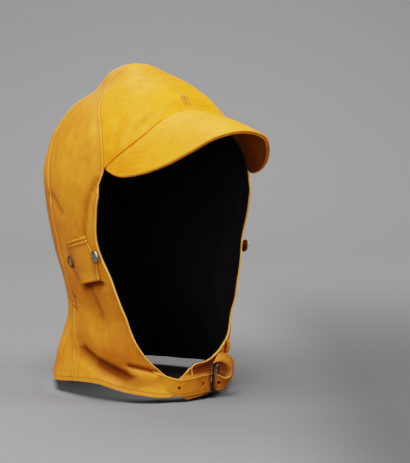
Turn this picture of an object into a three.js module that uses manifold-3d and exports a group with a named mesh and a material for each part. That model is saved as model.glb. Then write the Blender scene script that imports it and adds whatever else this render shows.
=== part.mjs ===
import * as THREE from 'three';
import { mergeVertices } from 'three/addons/utils/BufferGeometryUtils.js';
import Module from 'manifold-3d';

// Leather flying helmet with a peak, ear flaps and a buckled chin strap.
// Lengths are millimetres. +Z is up, the face looks along -Y and the wearer's left is +X.
// The origin is the top of the hollow, where the crown bears on the head.
// A turn is an angle round the head, in degrees from the middle of the face, and a drop is
// the height below the crown's top as a share of helmetHeight.

const wasm = await Module();
wasm.setup();

// Overall sizes of the leather shell, outside
const helmetHeight = 298;
const helmetWidth = 179;
const helmetDepth = 206;

// Walls and clearances
const leatherWall = 1.4;
const liningWall = 0.9;
const layerGap = 0.35;
const seamGap = 0.3;
const seatGap = 0.7;

// Folds and dents
const foldDepth = 6;
const foldWidth = 12;

// Peak: reach ahead of its two corners, rise from the corners to the middle of its front edge
const peakReach = 95.5;
const peakRise = 33.7;
const peakCrowning = 3;
const peakTopWall = 1.6;
const peakUnderWall = 1.4;
const peakSeatGap = 0.6;

// Ends of the peak as shares of the brow line, and the start of its lower face as a share of its reach
const peakSpan = 0.965;
const peakUnderStart = 0.03;

// Ear flaps and their press studs
const earFlapWall = 1.6;
const earFlapEar = 4;
const earFlapRise = 4.2;
const capRadius = 5.2;
const capHeight = 2.2;
const ringRadius = 5.4;
const ringHole = 3.1;
const ringHeight = 1.1;
const studGap = 0.3;

// Radius of the ear flap's arch under a stud, and the studs' places as shares across and down it
const studBedRadius = 45;
const studBack = { cap: 0.07, ring: 0.89 };
const studDown = 0.46;

// Chin strap
const strapWidth = 17;
const strapWall = 1.7;
const strapSlack = 3.2;
const strapHole = 3.2;
const strapHolePitch = 24;
const strapHoles = 2;
const curlReach = 8;
const curlRise = 21;

// Tab under the strap, at the front of the left side
const tabWall = 1.4;
const tabHeight = 20;
const tabTaper = 3.5;
const tabCorner = 6;
const tabCornerShare = 0.17;

// Buckle and its chape
const buckleHeight = 25;
const buckleLength = 14;
const buckleWire = 2.4;
const buckleCorner = 3.2;
const buckleInnerCorner = 1.2;
const buckleBevel = 0.6;
const prongWire = 1.8;
const chapeWall = 1.2;
const chapeHeight = 15;
const chapeLength = 16;
const chapeLoose = 1;
const foldGap = 0.9;
const slotGap = 1.2;

// Keeper above the buckle
const keeperWidth = 5;
const keeperHeight = 15;
const keeperRise = 3.4;
const keeperWall = 1.3;

// Materials
const leather = new THREE.MeshStandardMaterial({ color: 0xd9a02b, roughness: 0.5, metalness: 0 });
const leatherShade = new THREE.MeshStandardMaterial({ color: 0xb97a1c, roughness: 0.6, metalness: 0 });
const liningCloth = new THREE.MeshStandardMaterial({ color: 0x0c0d12, roughness: 0.95, metalness: 0 });
const steel = new THREE.MeshStandardMaterial({ color: 0x8f9092, roughness: 0.35, metalness: 1 });
const agedSteel = new THREE.MeshStandardMaterial({ color: 0x4c4338, roughness: 0.5, metalness: 1 });

// Level sections of the shell from the crown's top to just below the hem. The drop is a share of
// helmetHeight, side of half helmetWidth, and centre, front and back of half helmetDepth. A section
// is an oval whose front half grows squarer as square passes 2.
const sections = [
  { drop: 0.0000, centre: 0.097, side: 0.000, front: 0.000, back: 0.000, square: 2.0 },
  { drop: 0.0057, centre: 0.097, side: 0.145, front: 0.146, back: 0.126, square: 2.0 },
  { drop: 0.0258, centre: 0.097, side: 0.296, front: 0.291, back: 0.243, square: 2.0 },
  { drop: 0.0560, centre: 0.087, side: 0.452, front: 0.495, back: 0.369, square: 2.1 },
  { drop: 0.0980, centre: 0.078, side: 0.603, front: 0.680, back: 0.505, square: 2.2 },
  { drop: 0.1534, centre: 0.058, side: 0.754, front: 0.811, back: 0.680, square: 2.3 },
  { drop: 0.2205, centre: 0.039, side: 0.888, front: 0.898, back: 0.874, square: 2.5 },
  { drop: 0.3010, centre: 0.019, side: 0.972, front: 0.922, back: 0.990, square: 2.8 },
  { drop: 0.3850, centre: 0.000, side: 1.000, front: 0.951, back: 1.000, square: 3.0 },
  { drop: 0.4690, centre: 0.000, side: 0.983, front: 0.922, back: 0.922, square: 3.0 },
  { drop: 0.5527, centre: 0.000, side: 0.939, front: 0.874, back: 0.845, square: 3.0 },
  { drop: 0.6366, centre: 0.000, side: 0.877, front: 0.874, back: 0.777, square: 3.0 },
  { drop: 0.7205, centre: 0.000, side: 0.810, front: 0.854, back: 0.718, square: 3.0 },
  { drop: 0.7775, centre: 0.000, side: 0.793, front: 0.796, back: 0.714, square: 2.8 },
  { drop: 0.8312, centre: 0.000, side: 0.821, front: 0.777, back: 0.796, square: 2.5 },
  { drop: 0.8983, centre: 0.000, side: 0.866, front: 0.777, back: 0.893, square: 2.2 },
  { drop: 0.9822, centre: 0.000, side: 0.916, front: 0.806, back: 0.961, square: 2.0 },
  { drop: 1.0400, centre: 0.000, side: 0.943, front: 0.835, back: 0.990, square: 2.0 },
];

// Edges of the side panels, down the rows of the section table. The front edge is the side seam
// to the peak's corner, then the edge of the face opening, then the closing at the chin. The rear
// edge is the seam to the back panel. leftLift raises the left side's edge above the right's, and
// sag lowers a row behind its front end, to pass below the low point of the opening.
const cornerRow = 4;
const chinRow = 13;
const panelRows = [
  { frontTurn: 66.5, frontLevel: 0.10, leftLift: 0.00, rearTurn: 118.0, rearLevel: 0.10, sag: 0.00 },
  { frontTurn: 67.0, frontLevel: 2.30, leftLift: 0.00, rearTurn: 117.0, rearLevel: 2.30, sag: 0.00 },
  { frontTurn: 65.4, frontLevel: 4.30, leftLift: 0.00, rearTurn: 114.5, rearLevel: 4.30, sag: 0.00 },
  { frontTurn: 56.7, frontLevel: 5.80, leftLift: 0.00, rearTurn: 112.0, rearLevel: 5.80, sag: 0.00 },
  { frontTurn: 52.8, frontLevel: 7.20, leftLift: 0.00, rearTurn: 108.0, rearLevel: 7.20, sag: 0.00 },
  { frontTurn: 57.2, frontLevel: 8.60, leftLift: 0.00, rearTurn: 103.5, rearLevel: 8.60, sag: 0.00 },
  { frontTurn: 58.5, frontLevel: 9.90, leftLift: 0.00, rearTurn: 101.5, rearLevel: 9.90, sag: 0.00 },
  { frontTurn: 50.5, frontLevel: 11.20, leftLift: 0.00, rearTurn: 99.2, rearLevel: 11.20, sag: 0.00 },
  { frontTurn: 44.6, frontLevel: 12.40, leftLift: 0.00, rearTurn: 98.0, rearLevel: 12.40, sag: 0.00 },
  { frontTurn: 41.0, frontLevel: 13.40, leftLift: 0.10, rearTurn: 96.5, rearLevel: 13.20, sag: 0.00 },
  { frontTurn: 36.4, frontLevel: 14.23, leftLift: 0.15, rearTurn: 93.0, rearLevel: 13.90, sag: 0.00 },
  { frontTurn: 28.0, frontLevel: 14.95, leftLift: 0.38, rearTurn: 89.5, rearLevel: 14.50, sag: 0.00 },
  { frontTurn: 13.0, frontLevel: 15.50, leftLift: 0.52, rearTurn: 86.0, rearLevel: 15.10, sag: 0.05 },
  { frontTurn: 0.2, frontLevel: 15.25, leftLift: 0.05, rearTurn: 83.5, rearLevel: 15.55, sag: 0.45 },
  { frontTurn: 0.2, frontLevel: 16.11, leftLift: 0.00, rearTurn: 82.5, rearLevel: 15.77, sag: 0.00 },
];

// Hem of the shell
const hem = [
  { turn: 0, drop: 0.990 },
  { turn: 20, drop: 0.997 },
  { turn: 35, drop: 0.989 },
  { turn: 50, drop: 0.977 },
  { turn: 65, drop: 0.962 },
  { turn: 84, drop: 0.966 },
  { turn: 105, drop: 0.981 },
  { turn: 130, drop: 0.983 },
  { turn: 180, drop: 0.980 },
];

// Line where the peak joins the brow
const brow = [
  { turn: 0.0, drop: 0.148 },
  { turn: 12.0, drop: 0.160 },
  { turn: 22.0, drop: 0.181 },
  { turn: 34.4, drop: 0.232 },
  { turn: 44.0, drop: 0.274 },
  { turn: 52.8, drop: 0.317 },
];

// Half of the peak's free edge, from its middle to its corner: across is a share of the corners'
// half spacing, reach of peakReach and rise of peakRise.
const peakEdge = [
  { across: 0.000, reach: 1.000, rise: 1.000 },
  { across: 0.321, reach: 0.955, rise: 0.860 },
  { across: 0.522, reach: 0.822, rise: 0.525 },
  { across: 0.688, reach: 0.623, rise: 0.169 },
  { across: 0.826, reach: 0.388, rise: -0.083 },
  { across: 0.933, reach: 0.158, rise: -0.175 },
  { across: 1.000, reach: 0.000, rise: 0.000 },
];

// Dents and folds along short arcs of the shell. Turns are signed, right side negative; depth is a
// share of foldDepth, outward when positive, and width a share of foldWidth.
const folds = [
  { turn: -84, drop: 0.050, midTurn: -112, midDrop: 0.066, endTurn: -150, endDrop: 0.072, depth: -1.45, width: 1.20 },
  { turn: 88, drop: 0.056, midTurn: 112, midDrop: 0.070, endTurn: 150, endDrop: 0.072, depth: -1.15, width: 1.20 },
  { turn: -84, drop: 0.862, midTurn: -64, midDrop: 0.890, endTurn: -50, endDrop: 0.916, depth: -0.80, width: 1.00 },
  { turn: 86, drop: 0.868, midTurn: 64, midDrop: 0.890, endTurn: 46, endDrop: 0.925, depth: -0.65, width: 0.90 },
  { turn: -80, drop: 0.790, midTurn: -72, midDrop: 0.825, endTurn: -62, endDrop: 0.860, depth: 0.40, width: 1.40 },
  { turn: -78, drop: 0.672, midTurn: -70, midDrop: 0.735, endTurn: -64, endDrop: 0.800, depth: -0.40, width: 0.80 },
  { turn: 78, drop: 0.672, midTurn: 70, midDrop: 0.735, endTurn: 64, endDrop: 0.800, depth: -0.35, width: 0.80 },
  { turn: -110, drop: 0.900, midTurn: -108, midDrop: 0.950, endTurn: -107, endDrop: 0.985, depth: 0.55, width: 1.10 },
  { turn: 108, drop: 0.900, midTurn: 107, midDrop: 0.950, endTurn: 106, endDrop: 0.985, depth: 0.45, width: 1.10 },
  { turn: 165, drop: 0.740, midTurn: 180, midDrop: 0.765, endTurn: 198, endDrop: 0.745, depth: -0.50, width: 1.00 },
];

// Corners of an ear flap on the shell
const earFlapCorners = {
  topRear: { turn: 88.2, drop: 0.548 },
  topFront: { turn: 66.6, drop: 0.518 },
  lowFront: { turn: 58.4, drop: 0.642 },
  lowRear: { turn: 81.4, drop: 0.665 },
};

// Upper edge of the chin strap while it lies on the shell
const strapTop = [
  { turn: -43.5, drop: 0.895 },
  { turn: -33.0, drop: 0.909 },
  { turn: -24.0, drop: 0.924 },
  { turn: -12.0, drop: 0.942 },
  { turn: 0.0, drop: 0.943 },
  { turn: 12.0, drop: 0.944 },
  { turn: 26.0, drop: 0.950 },
];

// Loose end of the strap beyond the buckle, a loop up and back: out is a share of curlReach, up of
// curlRise, along of strapWidth, and tilt is the lean of its width away from upright, in degrees.
const curl = [
  { out: 0.00, up: 0.00, along: 0.00, tilt: 0 },
  { out: 0.10, up: -0.02, along: 0.16, tilt: 8 },
  { out: 0.45, up: 0.00, along: 0.34, tilt: 25 },
  { out: 0.85, up: 0.24, along: 0.38, tilt: 48 },
  { out: 0.90, up: 0.60, along: 0.30, tilt: 60 },
  { out: 0.55, up: 0.92, along: 0.16, tilt: 60 },
  { out: 0.00, up: 1.03, along: 0.00, tilt: 58 },
  { out: -0.35, up: 0.92, along: -0.10, tilt: 55 },
];

// Places along the strap, as turns. The strap rises on to the tab and on to the chape over the turns
// given by the ramps, from the tab's start and from the buckle, and stands off at its slack.
const buckleTurn = 12;
const firstHoleTurn = -12;
const prongHoleTurn = 14.2;
const curlHoleRow = 1.4;
const tabTurns = { start: -10.3, end: 12 };
const tabTop = 0.938;
const curlTurn = 17;
const tabRamp = { start: -14, end: -3 };
const chapeRamp = { start: -7, end: 4 };
const slackPlace = { turn: -30, spread: 8 };
const keeperPlace = { turn: 34, drop: 0.852 };

// Steps of the meshes
const crownSteps = 3;
const curtainSteps = 2;
const sideColumns = 7;
const backColumns = 12;
const goreColumns = 6;
const peakStations = 16;
const peakColumns = 3;
const flapRows = 4;
const flapColumns = 8;
const studSides = 10;
const holeSides = 8;
const tabSteps = 8;
const tabColumns = 2;
const strapSteps = 18;
const strapColumns = 2;
const curlSteps = 12;
const prongSteps = 10;
const keeperSteps = 8;

const radian = Math.PI / 180;
const up = new THREE.Vector3(0, 0, 1);
const crownTop = liningWall + layerGap + leatherWall;

function mix(a, b, t) {
  return a + (b - a) * t;
}

// Smooth curve through four values, from the second to the third
function curveValue(before, a, b, after, t) {
  const slopeA = (b - before) / 2;
  const slopeB = (after - a) / 2;
  const t2 = t * t;
  const t3 = t2 * t;
  return a * (2 * t3 - 3 * t2 + 1) + slopeA * (t3 - 2 * t2 + t) + b * (3 * t2 - 2 * t3) + slopeB * (t3 - t2);
}

// Value of one column of a table at a fractional row
function tableValue(rows, column, row, first) {
  const last = rows.length - 1;
  const i = Math.min(Math.max(Math.floor(row), 0), last - 1);
  const a = rows[i][column];
  const b = rows[i + 1][column];
  const before = i > 0 ? rows[i - 1][column] : first(a, b);
  const after = i + 2 <= last ? rows[i + 2][column] : 2 * b - a;
  return curveValue(before, a, b, after, row - i);
}

const carryOn = (a, b) => 2 * a - b;
const even = (a, b) => b;
const odd = (a, b) => -b;

// Value of a column of a table against its turn
function valueAtTurn(rows, column, turn) {
  let i = 0;
  while (i < rows.length - 2 && turn > rows[i + 1].turn) {
    i += 1;
  }
  const share = (turn - rows[i].turn) / (rows[i + 1].turn - rows[i].turn);
  return tableValue(rows, column, i + Math.min(Math.max(share, 0), 1), even);
}

// Fractional row of the section table at a drop
function levelAt(drop) {
  let low = 0;
  let high = sections.length - 1;
  for (let i = 0; i < 40; i += 1) {
    const middle = (low + high) / 2;
    if (tableValue(sections, 'drop', middle, even) < drop) {
      low = middle;
    } else {
      high = middle;
    }
  }
  return (low + high) / 2;
}

// Point of the smooth shell, before its folds
function smoothPoint(turn, level) {
  const angle = turn * radian;
  const s = Math.sin(angle);
  const c = Math.cos(angle);
  const isFront = c > 0;
  const half = helmetDepth / 2;
  const side = Math.max(tableValue(sections, 'side', level, odd) * helmetWidth / 2, 1e-6);
  const reach = Math.max(tableValue(sections, isFront ? 'front' : 'back', level, odd) * half, 1e-6);
  const power = isFront ? tableValue(sections, 'square', level, even) : 2;
  const radius = (Math.abs(s / side) ** power + Math.abs(c / reach) ** power) ** (-1 / power);
  const centre = tableValue(sections, 'centre', level, even) * half;
  const drop = tableValue(sections, 'drop', level, even) * helmetHeight;
  return new THREE.Vector3(radius * s, centre - radius * c, crownTop - drop);
}

function smoothNormal(turn, level) {
  const lower = Math.min(level + 0.02, sections.length - 1);
  const upper = Math.max(level - 0.02, 0.01);
  const round = smoothPoint(turn + 0.6, level).sub(smoothPoint(turn - 0.6, level));
  const down = smoothPoint(turn, lower).sub(smoothPoint(turn, upper));
  return down.cross(round).normalize();
}

const foldPaths = folds.map((fold) => {
  const points = [];
  for (let i = 0; i <= 8; i += 1) {
    const t = i / 8;
    const first = (1 - t) * (1 - 2 * t);
    const middle = 4 * t * (1 - t);
    const last = t * (2 * t - 1);
    const turn = first * fold.turn + middle * fold.midTurn + last * fold.endTurn;
    const drop = first * fold.drop + middle * fold.midDrop + last * fold.endDrop;
    points.push(smoothPoint(turn, levelAt(drop)));
  }
  return points;
});

function foldOffset(point) {
  const nearest = new THREE.Vector3();
  const segment = new THREE.Line3();
  let offset = 0;
  folds.forEach((fold, index) => {
    let distance = Infinity;
    for (let i = 0; i < 8; i += 1) {
      segment.set(foldPaths[index][i], foldPaths[index][i + 1]);
      segment.closestPointToPoint(point, true, nearest);
      distance = Math.min(distance, nearest.distanceTo(point));
    }
    offset += fold.depth * foldDepth * Math.exp(-((distance / (fold.width * foldWidth)) ** 2));
  });
  return offset;
}

// Point of the folded shell, lift millimetres outside the leather's outer face
function shellPoint(turn, level, lift) {
  const point = smoothPoint(turn, level);
  return point.addScaledVector(smoothNormal(turn, level), lift + foldOffset(point));
}

// Point of something laid over the shell, which spans the hollows of its folds
function laidPoint(turn, level, lift) {
  const point = smoothPoint(turn, level);
  return point.addScaledVector(smoothNormal(turn, level), lift + Math.max(foldOffset(point), 0));
}

// Turn that a distance along the shell takes up
function edgeTurn(distance, turn, level) {
  const centre = tableValue(sections, 'centre', level, even) * helmetDepth / 2;
  const point = smoothPoint(turn, level);
  return distance / Math.max(Math.hypot(point.x, point.y - centre), 0.5) / radian;
}

function geometryOf(points, faces) {
  const geometry = new THREE.BufferGeometry();
  geometry.setAttribute('position', new THREE.Float32BufferAttribute(points.flatMap((p) => [p.x, p.y, p.z]), 3));
  geometry.setIndex(faces);
  return geometry;
}

function signedVolume(points, faces) {
  let sum = 0;
  for (let i = 0; i < faces.length; i += 3) {
    const [a, b, c] = [points[faces[i]], points[faces[i + 1]], points[faces[i + 2]]];
    sum += a.dot(b.clone().cross(c));
  }
  return sum / 6;
}

// Closed wall between two grids of points with the same rows and columns. Each four-sided cell is
// split along the shorter diagonal of the guide grid, so that walls laid on each other never cross.
function wallBetween(outer, inner, guide = outer) {
  const rows = outer.length;
  const columns = outer[0].length;
  const points = [...outer.flat(), ...inner.flat()];
  const faces = [];
  const at = (side, r, c) => side * rows * columns + r * columns + c;
  const quad = (a, b, c, d) => faces.push(a, b, c, a, c, d);
  for (let r = 0; r < rows - 1; r += 1) {
    for (let c = 0; c < columns - 1; c += 1) {
      const falling = guide[r][c].distanceToSquared(guide[r + 1][c + 1]);
      const rising = guide[r][c + 1].distanceToSquared(guide[r + 1][c]);
      for (const side of [0, 1]) {
        const corners = [at(side, r, c), at(side, r, c + 1), at(side, r + 1, c + 1), at(side, r + 1, c)];
        if (rising < falling) {
          corners.push(corners.shift());
        }
        if (side === 1) {
          corners.splice(0, 4, corners[0], corners[3], corners[2], corners[1]);
        }
        quad(...corners);
      }
    }
  }
  for (let r = 0; r < rows - 1; r += 1) {
    quad(at(0, r + 1, 0), at(1, r + 1, 0), at(1, r, 0), at(0, r, 0));
    quad(at(0, r, columns - 1), at(1, r, columns - 1), at(1, r + 1, columns - 1), at(0, r + 1, columns - 1));
  }
  for (let c = 0; c < columns - 1; c += 1) {
    quad(at(0, 0, c), at(1, 0, c), at(1, 0, c + 1), at(0, 0, c + 1));
    quad(at(0, rows - 1, c + 1), at(1, rows - 1, c + 1), at(1, rows - 1, c), at(0, rows - 1, c));
  }
  if (signedVolume(points, faces) < 0) {
    faces.reverse();
  }
  return geometryOf(points, faces);
}

function solidOf(geometry) {
  const bare = geometry.clone();
  bare.deleteAttribute('normal');
  bare.deleteAttribute('uv');
  const merged = mergeVertices(bare, 1e-4);
  const vertProperties = new Float32Array(merged.attributes.position.array);
  const triVerts = new Uint32Array(merged.index.array);
  return new wasm.Manifold(new wasm.Mesh({ numProp: 3, vertProperties, triVerts }));
}

function geometryFrom(solid) {
  const mesh = solid.getMesh();
  const geometry = new THREE.BufferGeometry();
  geometry.setAttribute('position', new THREE.Float32BufferAttribute(mesh.vertProperties, 3));
  geometry.setIndex([...mesh.triVerts]);
  return geometry;
}

const helmet = new THREE.Group();

function addPiece(name, geometry, material) {
  const mesh = new THREE.Mesh(geometry, material);
  mesh.name = name;
  helmet.add(mesh);
  return mesh;
}

// Fractional rows of the panel table at which the panels have their rows of vertices
function rowStations(first, last) {
  const stations = [];
  for (let i = first; i < last; i += 1) {
    const steps = i < cornerRow ? crownSteps : curtainSteps;
    for (let k = 0; k < steps; k += 1) {
      stations.push(i + k / steps);
    }
  }
  stations.push(last);
  return stations;
}

// Share of the hem's own wave that a row takes up
function hemShare(row) {
  return THREE.MathUtils.smoothstep(row, cornerRow + 6, panelRows.length - 1);
}

function hemWave(row, turn, level, rearLevel) {
  const hemLevel = levelAt(valueAtTurn(hem, 'drop', Math.abs(turn)));
  const lastRow = panelRows[panelRows.length - 1];
  const straight = turn > lastRow.rearTurn ? rearLevel
    : mix(rearLevel, lastRow.frontLevel, (lastRow.rearTurn - turn) / (lastRow.rearTurn - lastRow.frontTurn));
  return level + (hemLevel - straight) * hemShare(row);
}

function sidePlace(row, across, isLeft) {
  const rearTurn = tableValue(panelRows, 'rearTurn', row, carryOn);
  const rearLevel = tableValue(panelRows, 'rearLevel', row, carryOn);
  const frontTurn = Math.max(tableValue(panelRows, 'frontTurn', row, carryOn), 0);
  const lift = isLeft ? tableValue(panelRows, 'leftLift', row, carryOn) : 0;
  const frontLevel = tableValue(panelRows, 'frontLevel', row, carryOn) - lift;
  const frontGap = row <= cornerRow || row >= chinRow ? edgeTurn(seamGap / 2, frontTurn, frontLevel) : 0;
  const rearGap = edgeTurn(seamGap / 2, rearTurn, rearLevel);
  const turn = mix(rearTurn - rearGap, frontTurn + frontGap, across);
  const lastRear = panelRows[panelRows.length - 1].rearLevel;
  const sag = tableValue(panelRows, 'sag', row, carryOn) * Math.sin(Math.PI * across ** 3);
  const level = hemWave(row, turn, mix(rearLevel, frontLevel, across) + sag, lastRear);
  return { turn, level };
}

function backPlace(row, across) {
  const rearTurn = tableValue(panelRows, 'rearTurn', row, carryOn);
  const rearLevel = tableValue(panelRows, 'rearLevel', row, carryOn);
  const gap = edgeTurn(seamGap / 2, rearTurn, rearLevel);
  const turn = mix(rearTurn + gap, 360 - rearTurn - gap, across);
  const lastRear = panelRows[panelRows.length - 1].rearLevel;
  return { turn, level: hemWave(row, Math.min(turn, 360 - turn), rearLevel, lastRear) };
}

function gorePlace(row, across) {
  const seamTurn = tableValue(panelRows, 'frontTurn', row, carryOn);
  const seamLevel = tableValue(panelRows, 'frontLevel', row, carryOn);
  const share = (seamLevel - panelRows[0].frontLevel) / (panelRows[cornerRow].frontLevel - panelRows[0].frontLevel);
  const browTurn = panelRows[cornerRow].frontTurn * (1 - across);
  const browLevel = levelAt(valueAtTurn(brow, 'drop', browTurn));
  const level = mix(panelRows[0].frontLevel, browLevel, share);
  const seamGapTurn = edgeTurn(seamGap / 2, seamTurn, seamLevel);
  const centreGapTurn = edgeTurn(seamGap / 2, 0, level);
  return { turn: mix(seamTurn - seamGapTurn, centreGapTurn, across), level };
}

// Leather wall and lining of one panel
function addPanel(name, stations, columns, place, sign) {
  const layers = [0, leatherWall, leatherWall + layerGap, leatherWall + layerGap + liningWall];
  const grids = layers.map((depth) => stations.map((row) => {
    const line = [];
    for (let c = 0; c <= columns; c += 1) {
      const { turn, level } = place(row, c / columns);
      line.push(shellPoint(sign * turn, level, -depth));
    }
    return line;
  }));
  addPiece(name, wallBetween(grids[0], grids[1]), leather);
  addPiece(`lining_${name}`, wallBetween(grids[2], grids[3], grids[0]), liningCloth);
}

const hemRow = panelRows.length - 1;
const sides = [
  { side: 'right', sign: -1 },
  { side: 'left', sign: 1 },
];

for (const { side, sign } of sides) {
  addPanel(`crown_gore_${side}`, rowStations(0, cornerRow), goreColumns, gorePlace, sign);
  const place = (row, across) => sidePlace(row, across, sign > 0);
  addPanel(`side_panel_${side}`, rowStations(0, hemRow), sideColumns, place, sign);
}
addPanel('back_panel', rowStations(0, hemRow), backColumns, backPlace, 1);

// Peak

const peakCorner = smoothPoint(brow[brow.length - 1].turn, levelAt(brow[brow.length - 1].drop));

function peakRoot(share) {
  const turn = share * brow[brow.length - 1].turn;
  const level = levelAt(valueAtTurn(brow, 'drop', Math.abs(turn)) + peakSeatGap / helmetHeight);
  return smoothPoint(turn, level).addScaledVector(smoothNormal(turn, level), peakSeatGap);
}

function peakFree(share) {
  const row = Math.abs(share) * (peakEdge.length - 1);
  const across = tableValue(peakEdge, 'across', row, odd) * Math.sign(share);
  const reach = tableValue(peakEdge, 'reach', row, even);
  const rise = tableValue(peakEdge, 'rise', row, even);
  return new THREE.Vector3(across * peakCorner.x, peakCorner.y - reach * peakReach, peakCorner.z + rise * peakRise);
}

function peakPoint(share, out, depth) {
  const point = (s, o) => {
    const swell = peakCrowning * 4 * o * (1 - o) * (1 - s * s);
    return peakRoot(s).lerp(peakFree(s), o).addScaledVector(up, swell);
  };
  const step = 0.01;
  const here = point(share, out);
  const across = point(share + step, out).sub(point(share - step, out));
  const ahead = point(share, out + step).sub(point(share, out - step));
  const normal = ahead.cross(across).normalize();
  return here.addScaledVector(normal, -depth);
}

function peakGrid(depth, start = 0) {
  const grid = [];
  for (let i = 0; i <= peakStations; i += 1) {
    const share = mix(-peakSpan, peakSpan, i / peakStations);
    const line = [];
    for (let c = 0; c <= peakColumns; c += 1) {
      line.push(peakPoint(share, mix(start, 1, c / peakColumns), depth));
    }
    grid.push(line);
  }
  return grid;
}

const underDepth = peakTopWall + layerGap;
addPiece('peak_top', wallBetween(peakGrid(0), peakGrid(peakTopWall)), leather);
const underGrids = [underDepth, underDepth + peakUnderWall].map((depth) => peakGrid(depth, peakUnderStart));
const underside = wallBetween(...underGrids, peakGrid(0));
addPiece('peak_underside', underside, leatherShade);

// Ear flaps, arched over the ears and pressed shut with a stud at each end

const earFlapWidth = smoothPoint(earFlapCorners.topRear.turn, levelAt(earFlapCorners.topRear.drop))
  .distanceTo(smoothPoint(earFlapCorners.topFront.turn, levelAt(earFlapCorners.topFront.drop)));

// Place on an ear flap, widened to a rounded ear round each stud
function earFlapPlace(share, down) {
  const { topRear, topFront, lowFront, lowRear } = earFlapCorners;
  const ear = earFlapEar / earFlapWidth * Math.sin(Math.PI * Math.min(Math.max(down, 0), 1)) ** 2;
  const back = mix(-ear, 1 + ear, share);
  const turn = mix(mix(topFront.turn, topRear.turn, back), mix(lowFront.turn, lowRear.turn, back), down);
  const drop = mix(mix(topFront.drop, topRear.drop, back), mix(lowFront.drop, lowRear.drop, back), down);
  return { turn, level: levelAt(drop) };
}

function earFlapLift(back) {
  return seatGap + earFlapRise * Math.sin(Math.PI * back) ** 1.5;
}

for (const { side, sign } of sides) {
  const grids = [earFlapWall, 0].map((depth) => {
    const grid = [];
    for (let r = 0; r <= flapRows; r += 1) {
      const line = [];
      for (let c = 0; c <= flapColumns; c += 1) {
        const { turn, level } = earFlapPlace(c / flapColumns, r / flapRows);
        line.push(shellPoint(sign * turn, level, earFlapLift(c / flapColumns) + depth));
      }
      grid.push(line);
    }
    return grid;
  });
  addPiece(`ear_flap_${side}`, wallBetween(grids[0], grids[1]), leather);
}

// Frame of axes on the shell: along runs with the turn, up the shell and out of it
function shellFrame(turn, level, lift) {
  const origin = shellPoint(turn, level, lift);
  const along = shellPoint(turn + 1, level, lift).sub(shellPoint(turn - 1, level, lift)).normalize();
  const below = shellPoint(turn, level + 0.1, lift).sub(shellPoint(turn, level - 0.1, lift)).normalize();
  const out = below.clone().cross(along).normalize();
  const rise = out.clone().cross(along).normalize();
  return { origin, along, rise, out };
}

function placeOn(frame, x, y, z) {
  const point = frame.origin.clone().addScaledVector(frame.along, x);
  return point.addScaledVector(frame.rise, y).addScaledVector(frame.out, z);
}

function setInFrame(geometry, frame) {
  const matrix = new THREE.Matrix4().makeBasis(frame.along, frame.rise, frame.out);
  matrix.setPosition(frame.origin);
  return geometry.applyMatrix4(matrix);
}

function turned(profile, segments) {
  const points = profile.map(([r, z]) => new THREE.Vector2(r, z));
  return new THREE.LatheGeometry(points, segments).rotateX(Math.PI / 2);
}

function studFrame(sign, back) {
  const { turn, level } = earFlapPlace(back, studDown);
  const step = 0.06;
  const lift = earFlapLift(back) + earFlapWall;
  const origin = shellPoint(sign * turn, level, lift);
  const front = earFlapPlace(back - step, studDown);
  const rear = earFlapPlace(back + step, studDown);
  const rearPoint = shellPoint(sign * rear.turn, rear.level, earFlapLift(back + step) + earFlapWall);
  const frontPoint = shellPoint(sign * front.turn, front.level, earFlapLift(back - step) + earFlapWall);
  const along = frontPoint.sub(rearPoint).normalize();
  const low = earFlapPlace(back, studDown + step);
  const high = earFlapPlace(back, studDown - step);
  const rise = shellPoint(sign * high.turn, high.level, lift).sub(shellPoint(sign * low.turn, low.level, lift));
  const out = along.clone().cross(rise).normalize();
  if (out.x * sign < 0) {
    out.negate();
  }
  const square = out.clone().cross(along).normalize();
  return { origin, along, rise: square, out };
}

// Height at which a stud clears the arched flap, and the outlines that its parts are turned from
const seat = studGap + capRadius ** 2 / (2 * studBedRadius);
for (const { side, sign } of sides) {
  const capFrame = studFrame(sign, studBack.cap);
  const dome = [[0, seat], [capRadius * 0.9, seat], [capRadius, seat + 0.35 * capHeight]];
  dome.push([capRadius * 0.8, seat + 0.78 * capHeight], [capRadius * 0.4, seat + 0.97 * capHeight]);
  dome.push([0, seat + capHeight]);
  addPiece(`stud_cap_${side}`, setInFrame(turned(dome, studSides), capFrame), steel);

  const ringFrame = studFrame(sign, studBack.ring);
  const middle = (ringRadius + ringHole) / 2;
  const ring = [[ringHole, seat + 0.2], [ringRadius * 0.9, seat], [ringRadius, seat + 0.4 * ringHeight]];
  ring.push([middle, seat + ringHeight], [ringHole, seat + 0.6 * ringHeight], [ringHole, seat + 0.2]);
  addPiece(`stud_ring_${side}`, setInFrame(turned(ring, studSides), ringFrame), agedSteel);
}

// Tab under the strap, rounded at its free end

const tabGrid = (lift) => {
  const grid = [];
  for (let i = 0; i <= tabSteps; i += 1) {
    const share = i / tabSteps;
    const turn = mix(tabTurns.start, tabTurns.end, share);
    const round = tabCorner * Math.max(0, 1 - share / tabCornerShare) ** 2;
    const line = [];
    for (let c = 0; c <= tabColumns; c += 1) {
      const drop = tabTop + (tabHeight - round - tabTaper * share) * c / tabColumns / helmetHeight;
      line.push(shellPoint(turn, levelAt(drop), lift));
    }
    grid.push(line);
  }
  return grid;
};
addPiece('chin_tab', wallBetween(tabGrid(seatGap + tabWall), tabGrid(seatGap)), leather);

// Chin strap from its sewn end on the right side, over the tab and through the buckle

const strapRest = seatGap + tabWall + layerGap;
const chapeStack = seatGap + chapeWall + foldGap + buckleWire + foldGap + chapeWall + layerGap;

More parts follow.
